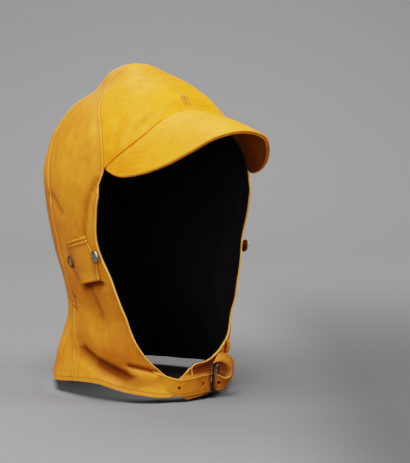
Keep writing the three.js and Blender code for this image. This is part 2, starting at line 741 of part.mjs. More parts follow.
function strapLiftAt(turn, down) {
  const overTab = THREE.MathUtils.smoothstep(turn - tabTurns.start, tabRamp.start, tabRamp.end);
  const base = mix(seatGap, strapRest, overTab);
  const overChape = THREE.MathUtils.smoothstep(turn - buckleTurn, chapeRamp.start, chapeRamp.end);
  const fromSlack = (turn - slackPlace.turn) / slackPlace.spread;
  const slack = Math.exp(-(fromSlack ** 2)) * strapSlack * (1 - down) ** 2;
  return mix(base, Math.max(base, chapeStack), overChape) + slack;
}

function strapPlace(turn, down) {
  const drop = valueAtTurn(strapTop, 'drop', turn) + down * strapWidth / helmetHeight;
  return { level: levelAt(drop), lift: strapLiftAt(turn, down) };
}

function strapStations() {
  const outer = [];
  const inner = [];
  for (let i = 0; i <= strapSteps; i += 1) {
    const turn = mix(strapTop[0].turn, curlTurn, i / strapSteps);
    const outerLine = [];
    const innerLine = [];
    for (let c = 0; c <= strapColumns; c += 1) {
      const { level, lift } = strapPlace(turn, c / strapColumns);
      outerLine.push(laidPoint(turn, level, lift + strapWall));
      innerLine.push(laidPoint(turn, level, lift));
    }
    outer.push(outerLine);
    inner.push(innerLine);
  }
  for (let i = 1; i <= curlSteps; i += 1) {
    const { origin, rise, out } = curlFrame((curl.length - 1) * i / curlSteps);
    const outerLine = [];
    const innerLine = [];
    for (let c = 0; c <= strapColumns; c += 1) {
      const point = origin.clone().addScaledVector(rise, strapWidth * (0.5 - c / strapColumns));
      outerLine.push(point.clone().addScaledVector(out, strapWall / 2));
      innerLine.push(point.clone().addScaledVector(out, -strapWall / 2));
    }
    outer.push(outerLine);
    inner.push(innerLine);
  }
  return { outer, inner };
}

// Frame of axes in the middle of the strap's wall, where it lies on the shell
function strapFrame(turn) {
  const { level, lift } = strapPlace(turn, 0.5);
  return shellFrame(turn, level, lift + strapWall / 2);
}

// The same at a row of the curl's table
function curlFrame(row) {
  const base = strapFrame(curlTurn);
  base.rise.copy(up);
  const curlPoint = (r) => {
    const out = tableValue(curl, 'out', r, carryOn) * curlReach;
    const rise = tableValue(curl, 'up', r, carryOn) * curlRise;
    const along = tableValue(curl, 'along', r, carryOn) * strapWidth;
    return placeOn(base, along, rise, out);
  };
  const step = 0.05;
  const along = curlPoint(Math.min(row + step, curl.length - 1)).sub(curlPoint(row - step)).normalize();
  const tilt = tableValue(curl, 'tilt', row, carryOn) * radian;
  const rise = up.clone().multiplyScalar(Math.cos(tilt)).addScaledVector(base.along, Math.sin(tilt));
  rise.addScaledVector(along, -rise.dot(along)).normalize();
  return { origin: curlPoint(row), along, rise, out: along.clone().cross(rise).normalize() };
}

function cutStrapHole(solid, frame) {
  const plug = new THREE.CylinderGeometry(strapHole / 2, strapHole / 2, 3 * strapWall, holeSides);
  plug.rotateX(Math.PI / 2);
  return solid.subtract(solidOf(setInFrame(plug, frame)));
}

const strapGrids = strapStations();
let strapSolid = solidOf(wallBetween(strapGrids.outer, strapGrids.inner));
const pitchTurn = edgeTurn(strapHolePitch, 0, levelAt(strapTop[4].drop));
for (let i = 0; i < strapHoles; i += 1) {
  strapSolid = cutStrapHole(strapSolid, strapFrame(firstHoleTurn + i * pitchTurn));
}
strapSolid = cutStrapHole(strapSolid, strapFrame(prongHoleTurn));
strapSolid = cutStrapHole(strapSolid, curlFrame(curlHoleRow));
addPiece('chin_strap', geometryFrom(strapSolid), leather);

// Buckle: a wire frame whose far bar is held in the folded chape and whose near bar lies on the strap

const barSpacing = buckleLength - buckleWire;
const buckleDrop = valueAtTurn(strapTop, 'drop', buckleTurn) + strapWidth / 2 / helmetHeight;
const buckleLevel = levelAt(buckleDrop);
const turnPerLength = edgeTurn(1, buckleTurn, buckleLevel);
const farBarLift = seatGap + chapeWall + foldGap + buckleWire / 2;
const nearBarTurn = buckleTurn - barSpacing / 2 * turnPerLength;
const strapUnderBar = strapLiftAt(nearBarTurn + buckleWire * turnPerLength, 0.5) + strapWall;
const nearBarLift = strapUnderBar + foldGap + buckleWire / 2;

// Point at x along the shell, y up it and z out of it from the buckle's middle
function besideBuckle(x, y, z) {
  const turn = buckleTurn + x * turnPerLength;
  return shellPoint(turn, levelAt(buckleDrop - y / helmetHeight), z);
}

function mapGeometry(geometry, place) {
  const position = geometry.attributes.position;
  for (let i = 0; i < position.count; i += 1) {
    const point = place(position.getX(i), position.getY(i), position.getZ(i));
    position.setXYZ(i, point.x, point.y, point.z);
  }
  return geometry;
}

const nearBar = besideBuckle(-barSpacing / 2, 0, nearBarLift);
const farBar = besideBuckle(barSpacing / 2, 0, farBarLift);
const buckleAlong = farBar.clone().sub(nearBar).normalize();
const buckleUp = besideBuckle(0, 1, 0).sub(besideBuckle(0, -1, 0)).normalize();
buckleUp.addScaledVector(buckleAlong, -buckleUp.dot(buckleAlong)).normalize();
const buckleFrame = {
  origin: nearBar.clone().add(farBar).multiplyScalar(0.5),
  along: buckleAlong,
  rise: buckleUp,
  out: buckleAlong.clone().cross(buckleUp),
};

function roundedOutline(shape, length, height, radius) {
  const [x, y] = [length / 2, height / 2];
  shape.moveTo(-x + radius, -y);
  shape.lineTo(x - radius, -y);
  shape.absarc(x - radius, -y + radius, radius, -Math.PI / 2, 0);
  shape.absarc(x - radius, y - radius, radius, 0, Math.PI / 2);
  shape.absarc(-x + radius, y - radius, radius, Math.PI / 2, Math.PI);
  shape.absarc(-x + radius, -y + radius, radius, Math.PI, 1.5 * Math.PI);
  return shape;
}

const frameLength = buckleLength - 2 * buckleBevel;
const frameHeight = buckleHeight - 2 * buckleBevel;
const frameShape = roundedOutline(new THREE.Shape(), frameLength, frameHeight, buckleCorner - buckleBevel);
const insideLength = buckleLength - 2 * (buckleWire - buckleBevel);
const insideHeight = buckleHeight - 2 * (buckleWire - buckleBevel);
frameShape.holes.push(roundedOutline(new THREE.Path(), insideLength, insideHeight, buckleInnerCorner));
const frameSolid = new THREE.ExtrudeGeometry(frameShape, {
  depth: buckleWire - 2 * buckleBevel,
  bevelEnabled: true,
  bevelThickness: buckleBevel,
  bevelSize: buckleBevel,
  bevelSegments: 1,
  curveSegments: 2,
});
frameSolid.translate(0, 0, buckleBevel - buckleWire / 2);
addPiece('buckle_frame', setInFrame(frameSolid, buckleFrame), steel);

// Chape: a leather strip folded round the far bar, with a slot for the prong
const foldInner = buckleWire / 2 + foldGap;
const foldOuter = foldInner + chapeWall;
const chapeBend = chapeLength * 0.4;
const chapeUpper = seatGap + chapeWall + layerGap;
const chapeShape = new THREE.Shape();
chapeShape.moveTo(0, farBarLift - foldOuter);
chapeShape.absarc(0, farBarLift, foldOuter, -Math.PI / 2, Math.PI / 2, true);
chapeShape.lineTo(chapeBend, chapeUpper + chapeWall + chapeLoose);
chapeShape.lineTo(chapeLength, chapeUpper + chapeWall);
chapeShape.lineTo(chapeLength, chapeUpper);
chapeShape.lineTo(chapeBend, chapeUpper + chapeLoose);
chapeShape.lineTo(0, farBarLift + foldInner);
chapeShape.absarc(0, farBarLift, foldInner, Math.PI / 2, -Math.PI / 2, false);
chapeShape.lineTo(chapeBend, seatGap + chapeWall);
chapeShape.lineTo(chapeLength, seatGap + chapeWall);
chapeShape.lineTo(chapeLength, seatGap);
chapeShape.lineTo(chapeBend, seatGap);
const chapeBlank = new THREE.ExtrudeGeometry(chapeShape, {
  depth: chapeHeight,
  steps: 2,
  bevelEnabled: false,
  curveSegments: 5,
});
mapGeometry(chapeBlank, (x, y, z) => besideBuckle(x + barSpacing / 2, chapeHeight / 2 - z, y));
const slotLength = foldOuter + buckleWire;
const slotBlock = new THREE.BoxGeometry(slotLength, prongWire + 2 * slotGap, 2 * foldOuter + chapeLoose);
slotBlock.translate((barSpacing - slotLength) / 2 + foldGap, 0, 0);
const chapeSolid = solidOf(chapeBlank).subtract(solidOf(setInFrame(slotBlock, buckleFrame)));
addPiece('buckle_chape', geometryFrom(chapeSolid), leather);

// Prong: from the far bar out through the strap's hole and back over the near bar
const prongHoleAt = (prongHoleTurn - buckleTurn) / turnPerLength;
const strapFace = strapLiftAt(prongHoleTurn, 0.5);
const prongEye = barSpacing / 2 - buckleWire / 2 - foldGap - prongWire / 2;
const prongRest = buckleWire / 2 + layerGap + prongWire / 2;
const prongPath = new THREE.CatmullRomCurve3([
  placeOn(buckleFrame, prongEye, 0, -prongWire / 2),
  placeOn(buckleFrame, prongEye, 0, prongWire / 2),
  besideBuckle(prongHoleAt, 0, strapFace + strapWall),
  placeOn(buckleFrame, prongHoleAt - 2 * prongWire, 0, prongRest + prongWire),
  placeOn(buckleFrame, -barSpacing / 2 + buckleWire / 2, 0, prongRest + 0.3 * prongWire),
  placeOn(buckleFrame, -barSpacing / 2 - buckleWire / 2, 0, prongRest),
]);
const prongSection = new THREE.Shape();
prongSection.absarc(0, 0, prongWire / 2, 0, 2 * Math.PI);
const prongSolid = new THREE.ExtrudeGeometry(prongSection, {
  steps: prongSteps,
  curveSegments: 3,
  bevelEnabled: false,
  extrudePath: prongPath,
});
addPiece('buckle_prong', prongSolid, steel);

// Keeper: a short arched band for the strap's end, sewn down above and below
const keeperGrids = [keeperWall, 0].map((depth) => {
  const grid = [];
  for (let r = 0; r <= keeperSteps; r += 1) {
    const down = r / keeperSteps;
    const line = [-0.5, 0.5].map((side) => {
      const turn = keeperPlace.turn + side * edgeTurn(keeperWidth, keeperPlace.turn, levelAt(keeperPlace.drop));
      const lift = seatGap + keeperRise * Math.sin(Math.PI * down) ** 1.4 + depth;
      return shellPoint(turn, levelAt(keeperPlace.drop + down * keeperHeight / helmetHeight), lift);
    });
    grid.push(line);
  }
  return grid;
});
addPiece('strap_keeper', wallBetween(keeperGrids[0], keeperGrids[1]), leather);

export default helmet;
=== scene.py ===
import math

import bmesh
import bpy
import numpy as np
from mathutils import Matrix, Vector


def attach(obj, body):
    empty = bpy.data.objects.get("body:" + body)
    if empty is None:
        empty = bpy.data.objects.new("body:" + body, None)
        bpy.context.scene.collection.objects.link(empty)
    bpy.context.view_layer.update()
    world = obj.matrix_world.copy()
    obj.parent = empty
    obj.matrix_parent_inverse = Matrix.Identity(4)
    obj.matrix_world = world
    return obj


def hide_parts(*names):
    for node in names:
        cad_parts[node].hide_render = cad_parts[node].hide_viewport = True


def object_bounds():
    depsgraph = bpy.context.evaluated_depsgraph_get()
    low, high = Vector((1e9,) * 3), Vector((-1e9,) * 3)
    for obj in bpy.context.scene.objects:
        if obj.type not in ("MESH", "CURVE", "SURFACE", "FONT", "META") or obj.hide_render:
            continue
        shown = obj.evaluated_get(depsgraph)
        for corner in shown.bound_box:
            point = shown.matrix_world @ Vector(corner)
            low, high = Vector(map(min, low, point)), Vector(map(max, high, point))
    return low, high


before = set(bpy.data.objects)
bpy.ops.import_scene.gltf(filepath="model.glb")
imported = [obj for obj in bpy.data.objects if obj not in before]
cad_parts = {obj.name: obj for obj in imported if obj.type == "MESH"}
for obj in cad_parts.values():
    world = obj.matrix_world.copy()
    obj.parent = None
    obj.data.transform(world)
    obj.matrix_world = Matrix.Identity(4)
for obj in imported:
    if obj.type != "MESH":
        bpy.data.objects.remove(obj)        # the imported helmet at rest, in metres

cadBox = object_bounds()
mm = 0.001

# Lengths below are millimetres unless a note says otherwise. The face looks along -Y, the wearer's
# left is +X. A turn is an angle round the head in degrees from the middle of the face, the right
# side negative. A level is a row of the sections, and a drop a share of the height below the crown.

cameraSetup = {
    "place": (-0.5968, -0.9190, -0.0511),  # metres
    "turn": 36.01,                         # degrees to the right of straight back
    "tilt": 5.38,                          # degrees down
    "lens": 90.66,
}


def addObject(name, data):
    made = bpy.data.objects.new(name, data)
    bpy.context.scene.collection.objects.link(made)
    return made


cameraData = bpy.data.cameras.new("camera")
cameraData.lens = cameraSetup["lens"]
cameraData.sensor_width = 36
camera = addObject("camera", cameraData)
camera.location = cameraSetup["place"]
camera.rotation_euler = (math.radians(90 - cameraSetup["tilt"]), 0, -math.radians(cameraSetup["turn"]))
bpy.context.scene.camera = camera


# The shell's surface

shell = {
    "height": 298.0, "width": 179.0, "depth": 206.0,
    "leather": 1.4, "lining": 0.9, "layerGap": 0.35, "seatGap": 0.7, "seamGap": 0.3,
    "foldDepth": 6.0, "foldWidth": 12.0,
}
crownTop = shell["leather"] + shell["lining"] + shell["layerGap"]

sections = {
    "drop": [0, .0057, .0258, .0560, .0980, .1534, .2205, .3010, .3850, .4690, .5527, .6366,
             .7205, .7775, .8312, .8983, .9822, 1.04],
    "centre": [.097, .097, .097, .087, .078, .058, .039, .019, 0, 0, 0, 0, 0, 0, 0, 0, 0, 0],
    "side": [0, .145, .296, .452, .603, .754, .888, .972, 1, .983, .939, .877,
             .810, .793, .821, .866, .916, .943],
    "front": [0, .146, .291, .495, .680, .811, .898, .922, .951, .922, .874, .874,
              .854, .796, .777, .777, .806, .835],
    "back": [0, .126, .243, .369, .505, .680, .874, .990, 1, .922, .845, .777,
             .718, .714, .796, .893, .961, .990],
    "square": [2, 2, 2, 2.1, 2.2, 2.3, 2.5, 2.8, 3, 3, 3, 3, 3, 2.8, 2.5, 2.2, 2, 2],
}

# Edges of the side panels, down their rows: turns and levels of the front and rear edge, levels by which
# the left side's front edge is higher, and how far a row sags between them
panelRows = {
    "frontTurn": [66.5, 67.0, 65.4, 56.7, 52.8, 57.2, 58.5, 50.5, 44.6, 41.0, 36.4, 28.0, 13.0, .2, .2],
    "frontLevel": [.10, 2.30, 4.30, 5.80, 7.20, 8.60, 9.90, 11.20, 12.40, 13.40, 14.23, 14.95,
                   15.50, 15.25, 16.11],
    "leftLift": [0, 0, 0, 0, 0, 0, 0, 0, 0, .10, .15, .38, .52, .05, 0],
    "rearTurn": [118, 117, 114.5, 112, 108, 103.5, 101.5, 99.2, 98, 96.5, 93, 89.5, 86, 83.5, 82.5],
    "rearLevel": [.10, 2.30, 4.30, 5.80, 7.20, 8.60, 9.90, 11.20, 12.40, 13.20, 13.90, 14.50,
                  15.10, 15.55, 15.77],
    "sag": [0, 0, 0, 0, 0, 0, 0, 0, 0, 0, 0, 0, .05, .45, 0],
}
cornerRow, chinRow, hemRow = 4, 13, 14

hem = {"turn": [0, 20, 35, 50, 65, 84, 105, 130, 180],
       "drop": [.990, .997, .989, .977, .962, .966, .981, .983, .980]}
brow = {"turn": [0, 12, 22, 34.4, 44, 52.8], "drop": [.148, .160, .181, .232, .274, .317]}

# Folds of the shell: start, middle and end as (turn, drop), depth and width as shares
folds = [
    ((-84, .050), (-112, .066), (-150, .072), -1.05, 1.45),
    ((88, .056), (112, .070), (150, .072), -.90, 1.40),
    ((-84, .870), (-64, .899), (-49, .926), -.75, 1.00),
    ((86, .868), (64, .890), (46, .925), -.65, .90),
    ((-80, .790), (-72, .825), (-62, .860), .40, 1.40),
    ((-78, .672), (-70, .735), (-64, .800), -.40, .80),
    ((78, .672), (70, .735), (64, .800), -.35, .80),
    ((-110, .900), (-108, .950), (-107, .985), .55, 1.10),
    ((108, .900), (107, .950), (106, .985), .45, 1.10),
    ((165, .740), (180, .765), (198, .745), -.50, 1.00),
]

# Finer creases: start, middle, end, depth in mm, width above and below the line in mm. The deeper ones also
# get painted shade in the leather's colour
creases = [
    ((-83, .864), (-66, .893), (-46, .931), -2.6, 3.5, 9.0),      # the deep fold of the neck guard
    ((-57.2, .354), (-64, .415), (-68.6, .512), -1.5, 5.0, 4.0),  # ahead of the ear
    ((-63, .902), (-52, .922), (-40, .942), -1.1, 4.5, 7.0),      # lower end of the deep fold
    ((-104.4, .397), (-98, .415), (-90, .450), -1.1, 3.5, 5.0),   # behind the ear
    ((-77, .668), (-69, .700), (-63, .760), -1.2, 4.0, 6.0),      # hollow below the ear flap
    ((-50.5, .262), (-49.5, .216), (-52, .180), .55, 3.2, 3.2),   # wrinkles of the gore
    ((-49.5, .245), (-46.3, .206), (-43.5, .172), -.75, 2.8, 2.8),
    ((-44, .245), (-42, .190), (-38, .140), .55, 3.6, 3.6),
    ((-40.5, .240), (-36.3, .205), (-30, .172), -.6, 3.4, 3.4),
    ((-47.5, .274), (-29.5, .198), (-16, .136), .55, 3.0, 3.0),   # puffed edge above the peak
    ((-16, .136), (-3, .109), (12, .112), .7, 3.2, 3.2),
    ((-30, .176), (-10, .134), (20, .140), -.5, 4.0, 4.0),
    ((-52.6, .316), (-40, .257), (-23, .188), -1.4, .7, .7),      # brow seam
    ((-62, .300), (-63, .250), (-66, .180), .8, 5.0, 5.0),        # beside the side seam
    ((-98, .714), (-95.5, .716), (-93, .719), -1.8, 1.4, 1.6),    # gathers of the nape
    ((-99, .731), (-96, .733), (-93.5, .736), -1.6, 1.4, 1.6),
    ((-99.5, .748), (-97, .750), (-94, .753), -1.6, 1.4, 1.6),
    ((-80, .676), (-70, .663), (-59.5, .652), -3.0, 1.5, 4.5),    # shade under the ear flaps
    ((80, .676), (70, .663), (59.5, .652), -2.4, 1.5, 4.5),
    ((-43, .902), (-36, .909), (-26, .920), -2.6, 2.2, 2.2),      # slit above the strap
    ((1, .928), (10, .925), (21, .918), -3.4, 6.0, 7.0),          # hollow at the chin's left
    ((25, .938), (36, .942), (47, .950), -3.6, 9.0, 9.0),         # behind the strap's loop
    ((-58, .345), (-55, .352), (-53.5, .362), -.5, 1.2, 1.2),     # gathers below the peak's corner
    ((-60, .358), (-57, .367), (-55, .378), -.5, 1.2, 1.2),
    ((-61, .375), (-58, .385), (-56, .397), -.45, 1.3, 1.3),
    ((97, .735), (92, .738), (88, .745), -1.2, 1.8, 2.2),         # gathers of the left side
    ((100, .755), (94, .760), (90, .768), -1.2, 1.8, 2.2),
    ((-72, .925), (-58, .945), (-44, .962), .3, 7.0, 5.0),        # roll above the hem
    ((-60, .985), (-40, .965), (-24, .955), -.7, 4.0, 5.0),
    ((60, .345), (66, .415), (69, .505), -1.3, 5.0, 4.0),         # the left side's own folds
    ((84, .850), (66, .882), (50, .915), -2.2, 4.0, 9.0),
    ((130, .745), (150, .758), (172, .750), -1.5, 3.0, 5.0),      # rolls of the nape
    ((-128, .740), (-150, .752), (-170, .757), -1.4, 3.0, 5.0),
    ((120, .800), (150, .815), (185, .808), .9, 9.0, 9.0),
]


# Smooth value of a table's column at a row. The row before the first mirrors it, or carries on.
def alongTable(values, row, start="even"):
    v = np.asarray(values, float)
    row = np.asarray(row, float)
    first = {"even": v[1], "odd": -v[1], "carry": 2 * v[0] - v[1]}[start]
    full = np.concatenate([[first], v, [2 * v[-1] - v[-2]]])
    i = np.clip(np.floor(row).astype(int), 0, len(v) - 2)
    t = row - i
    before, a, b, after = full[i], full[i + 1], full[i + 2], full[i + 3]
    rise = (b - before) / 2 * (t ** 3 - 2 * t ** 2 + t) + (after - a) / 2 * (t ** 3 - t ** 2)
    return a * (2 * t ** 3 - 3 * t ** 2 + 1) + b * (3 * t ** 2 - 2 * t ** 3) + rise


def atTurn(table, column, turn):
    row = np.interp(turn, table["turn"], np.arange(len(table["turn"])))
    return alongTable(table[column], row)


fineLevels = np.linspace(0, len(sections["drop"]) - 1, 6001)
fineDrops = alongTable(sections["drop"], fineLevels)


def levelAt(drop):
    return np.interp(drop, fineDrops, fineLevels)


def unit(v):
    return v / np.maximum(np.linalg.norm(v, axis=-1, keepdims=True), 1e-9)


def smoothStep(value, low, high):
    t = np.clip((value - low) / (high - low), 0, 1)
    return t * t * (3 - 2 * t)


def smoothPoint(turn, level):
    turn, level = np.broadcast_arrays(np.asarray(turn, float), np.asarray(level, float))
    s, c = np.sin(np.radians(turn)), np.cos(np.radians(turn))
    half = shell["depth"] / 2
    side = np.maximum(alongTable(sections["side"], level, "odd") * shell["width"] / 2, 1e-6)
    front = alongTable(sections["front"], level, "odd")
    back = alongTable(sections["back"], level, "odd")
    reach = np.maximum(np.where(c > 0, front, back) * half, 1e-6)
    power = np.where(c > 0, alongTable(sections["square"], level), 2.0)
    radius = (np.abs(s / side) ** power + np.abs(c / reach) ** power) ** (-1 / power)
    centre = alongTable(sections["centre"], level) * half
    z = crownTop - alongTable(sections["drop"], level) * shell["height"]
    return np.stack([radius * s, centre - radius * c, z], -1)


def smoothNormal(turn, level):
    lower = np.minimum(level + 0.02, len(sections["drop"]) - 1)
    upper = np.maximum(level - 0.02, 0.01)
    around = smoothPoint(turn + 0.6, level) - smoothPoint(turn - 0.6, level)
    down = smoothPoint(turn, lower) - smoothPoint(turn, upper)
    return unit(np.cross(down, around))


def arcPath(start, middle, end):
    t = np.linspace(0, 1, 9)
    a, b, c = (1 - t) * (1 - 2 * t), 4 * t * (1 - t), t * (2 * t - 1)
    turn = a * start[0] + b * middle[0] + c * end[0]
    drop = a * start[1] + b * middle[1] + c * end[1]
    return smoothPoint(turn, levelAt(drop))


# Distance of points from a line of points, and how far above it they lie
def fromPath(points, path):
    best = np.full(points.shape[:-1], 1e9)
    above = np.zeros(points.shape[:-1])
    for a, b in zip(path[:-1], path[1:]):
        t = np.clip(((points - a) @ (b - a)) / ((b - a) @ (b - a)), 0, 1)
        nearest = a + t[..., None] * (b - a)
        distance = np.linalg.norm(points - nearest, axis=-1)
        closer = distance < best
        best = np.where(closer, distance, best)
        above = np.where(closer, points[..., 2] - nearest[..., 2], above)
    return best, above


foldPaths = [arcPath(*f[:3]) for f in folds]
creasePaths = [arcPath(*c[:3]) for c in creases]


def foldOffset(points):
    total = np.zeros(points.shape[:-1])
    for (_, _, _, depth, width), path in zip(folds, foldPaths):
        distance, _ = fromPath(points, path)
        total += depth * shell["foldDepth"] * np.exp(-(distance / (width * shell["foldWidth"])) ** 2)
    return total


def creaseOffset(points):
    total = np.zeros(points.shape[:-1])
    for (_, _, _, depth, over, under), path in zip(creases, creasePaths):
        distance, above = fromPath(points, path)
        blend = smoothStep(above, -2.0, 2.0)
        total += depth * np.exp(-(distance / (over * blend + under * (1 - blend))) ** 2)
    return total


rumple = {"seed": 7, "waves": 26, "longest": 70.0, "shortest": 11.0, "height": 0.34}


def rumpleOffset(points):
    draw = np.random.default_rng(rumple["seed"])
    total = np.zeros(points.shape[:-1])
    for _ in range(rumple["waves"]):
        share = draw.random()
        length = rumple["longest"] * (rumple["shortest"] / rumple["longest"]) ** share
        direction = unit(draw.normal(size=3)) * np.array([1, 1, 0.6])
        phase = draw.random() * 2 * math.pi
        height = rumple["height"] * (length / rumple["longest"]) ** 0.8
        total += height * np.sin(points @ direction * 2 * math.pi / length + phase)
    return total / 2


# Points of the shell, lift millimetres outside the leather, with the folds
def shellPoint(turn, level, lift=0.0, fine=True):
    point = smoothPoint(turn, level)
    offset = foldOffset(point)
    if fine:
        offset = offset + creaseOffset(point) + rumpleOffset(point)
    return point + smoothNormal(turn, level) * (lift + offset)[..., None]


# The same for something laid over the shell, which spans its hollows
def laidPoint(turn, level, lift):
    point = smoothPoint(turn, level)
    return point + smoothNormal(turn, level) * (lift + np.maximum(foldOffset(point), 0))[..., None]


# Degrees of turn that a distance along the shell makes
def edgeTurn(distance, turn, level):
    point = smoothPoint(turn, level)
    centre = alongTable(sections["centre"], level) * shell["depth"] / 2
    return np.degrees(distance / np.maximum(np.hypot(point[..., 0], point[..., 1] - centre), 0.5))


# Places on the panels

# Brings the lowest rows of a panel to the hem
def hemWave(row, turn, level):
    frontTurn, frontLevel = panelRows["frontTurn"][-1], panelRows["frontLevel"][-1]
    rearTurn, rearLevel = panelRows["rearTurn"][-1], panelRows["rearLevel"][-1]
    hemLevel = levelAt(atTurn(hem, "drop", np.abs(turn)))
    share = np.clip((rearTurn - turn) / (rearTurn - frontTurn), 0, 1)
    straight = rearLevel + (frontLevel - rearLevel) * share
    return level + (hemLevel - straight) * smoothStep(row, cornerRow + 6, hemRow)


def panelEdge(row):
    return {name: alongTable(values, row, "carry") for name, values in panelRows.items()}


# Where the side panel's front edge stands out: degrees of turn, then rows below the peak's corner
temple = {"turn": 1.9, "below": 0.36, "over": 0.2}


def sidePlace(row, across, isLeft):
    edge = panelEdge(row)
    templeTurn = temple["turn"] * np.exp(-((row - cornerRow - temple["below"]) / temple["over"]) ** 2)
    frontTurn = np.maximum(edge["frontTurn"] + templeTurn, 0)
    frontLevel = edge["frontLevel"] - (edge["leftLift"] if isLeft else 0)
    isSeam = (row <= cornerRow) | (row >= chinRow)
    frontGap = np.where(isSeam, edgeTurn(shell["seamGap"] / 2, frontTurn, frontLevel), 0)
    rearGap = edgeTurn(shell["seamGap"] / 2, edge["rearTurn"], edge["rearLevel"])
    rear, front = edge["rearTurn"] - rearGap, frontTurn + frontGap
    turn = rear + (front - rear) * across
    level = edge["rearLevel"] + (frontLevel - edge["rearLevel"]) * across
    level = level + edge["sag"] * np.sin(math.pi * across ** 3)
    return turn, hemWave(row, turn, level)


def backPlace(row, across):
    edge = panelEdge(row)
    gap = edgeTurn(shell["seamGap"] / 2, edge["rearTurn"], edge["rearLevel"])
    first = edge["rearTurn"] + gap
    turn = first + (360 - 2 * first) * across
    return turn, hemWave(row, np.minimum(turn, 360 - turn), edge["rearLevel"])


def gorePlace(row, across):
    edge = panelEdge(row)
    top, corner = panelRows["frontLevel"][0], panelRows["frontLevel"][cornerRow]
    share = (edge["frontLevel"] - top) / (corner - top)
    browLevel = levelAt(atTurn(brow, "drop", panelRows["frontTurn"][cornerRow] * (1 - across)))
    level = top + (browLevel - top) * share
    seamGap = edgeTurn(shell["seamGap"] / 2, edge["frontTurn"], edge["frontLevel"])
    centreGap = edgeTurn(shell["seamGap"] / 2, 0.0, level)
    turn = (edge["frontTurn"] - seamGap) * (1 - across) + centreGap * across
    return turn, level


# Meshes

def smoothFaces(mesh):
    mesh.polygons.foreach_set("use_smooth", np.ones(len(mesh.polygons), bool))


def meshObject(name, points, faces, attributes=None):
    mesh = bpy.data.meshes.new(name)
    mesh.from_pydata((np.asarray(points) * mm).tolist(), [], faces)
    smoothFaces(mesh)
    for key, values in (attributes or {}).items():
        values = np.asarray(values, float)
        kind = "FLOAT" if values.ndim == 1 else "FLOAT_VECTOR"
        layer = mesh.attributes.new(key, kind, "POINT")
        layer.data.foreach_set("value" if values.ndim == 1 else "vector", values.ravel())
    mesh.update()
    return addObject(name, mesh)


# Merges doubles and points the faces outwards
def finishMesh(made):
    work = bmesh.new()
    work.from_mesh(made.data)
    bmesh.ops.remove_doubles(work, verts=work.verts, dist=2e-6)
    bmesh.ops.recalc_face_normals(work, faces=work.faces)
    work.to_mesh(made.data)
    work.free()
    smoothFaces(made.data)


def evaluatedMesh(piece):
    view = bpy.context.evaluated_depsgraph_get()
    view.update()
    return bpy.data.meshes.new_from_object(piece.evaluated_get(view))


def applyModifiers(piece):
    mesh = evaluatedMesh(piece)
    piece.modifiers.clear()
    old, piece.data = piece.data, mesh
    bpy.data.meshes.remove(old)


# Closed wall between two grids of points
def wallFaces(rows, columns):
    index = np.arange(rows * columns).reshape(rows, columns)
    a, b, c, d = index[:-1, :-1], index[:-1, 1:], index[1:, 1:], index[1:, :-1]
    outer = np.stack([a, b, c, d], -1).reshape(-1, 4)
    n = rows * columns
    inner = outer[:, ::-1] + n
    rim = []
    for line in (index[0, ::-1], index[-1, :], index[:, 0], index[::-1, -1]):
        rim.append(np.stack([line[1:], line[:-1], line[:-1] + n, line[1:] + n], -1)[:, ::-1])
    return np.concatenate([outer, inner] + rim)


def wallObject(name, outer, inner, attributes=None, innerShade=None):
    rows, columns = outer.shape[:2]
    points = np.concatenate([outer.reshape(-1, 3), inner.reshape(-1, 3)])
    faces = wallFaces(rows, columns)
    outside = faces[: (rows - 1) * (columns - 1)]
    p = points[outside]
    facing = np.cross(p[:, 2] - p[:, 0], p[:, 3] - p[:, 1])
    outward = (outer - inner).reshape(-1, 3)[outside[:, 0]]
    if (facing * outward).sum() < 0:
        faces = faces[:, ::-1]
    # edges without a rim of their own get a pale one: partly the cut edge's own tone, partly painted
    # highlight
    if "edges" in (attributes or {}) and "rim" not in attributes:
        attributes["rim"] = 0.35 * (1 - smoothStep(attributes["edges"].min(-1), 0.3, 1.1))
    both = {key: np.concatenate([v.reshape(rows * columns, *v.shape[2:])] * 2)
            for key, v in (attributes or {}).items()}
    # the inner face can carry its own painted shade
    if innerShade is not None:
        both["paintedShade"][rows * columns:] = innerShade.ravel()
    return meshObject(name, points, faces.tolist(), both)


# What the leather reads: distances from up to three edges, and how much painted shade darkens it
def leatherMarks(*distances, paintedShade=0.0, **others):
    far = np.full_like(distances[0], 99.0)
    return {"edges": np.stack([*distances, far, far][:3], -1), "paintedShade": 0 * far + paintedShade, **others}


# Distances along a grid, down the given axis, from its start
def runLength(points, axis):
    step = np.linalg.norm(np.diff(points, axis=axis), axis=-1)
    pad = [(0, 0), (0, 0)]
    pad[axis] = (1, 0)
    return np.pad(np.cumsum(step, axis=axis), pad)


# Distances from an edge at which vertices stand, so that it can be rounded
edgeSteps = np.array([0, 0.25, 0.6, 1.1, 1.8])


# Places for a panel's vertices: close together at its edges, even between
def panelGrid(place, lastRow, step, columns):
    fine = np.linspace(0, lastRow, 500)
    length = runLength(smoothPoint(*place(fine, np.full(500, 0.5)))[:, None], 0)[:, 0]
    total = length[-1]
    inside = np.linspace(step, total - edgeSteps[-1] - step, int(total / step))
    rows = np.interp(np.concatenate([[0.0], inside, total - edgeSteps[::-1]]), length, fine)
    shares = np.linspace(0, 1, 60)
    rough = smoothPoint(*place(rows[:, None], shares[None, :]))
    run = runLength(rough, 1)
    across = []
    for line in run:
        width = line[-1]
        close = edgeSteps * min(1, width / 14)
        between = np.linspace(close[-1], width - close[-1], columns + 2)[1:-1]
        across.append(np.interp(np.concatenate([close, between, width - close[::-1]]), line, shares))
    return rows[:, None] + np.zeros((1, len(across[0]))), np.array(across)


# How far the rounded edge of a wall falls at a distance from the edge
def edgeFall(distance, radius):
    return radius * (1 - np.sqrt(1 - (1 - np.clip(distance / radius, 0, 1)) ** 2))


# Dents that rows of stitches pull into the leather
stitchGrooves = {"depth": 0.24, "width": 0.8}


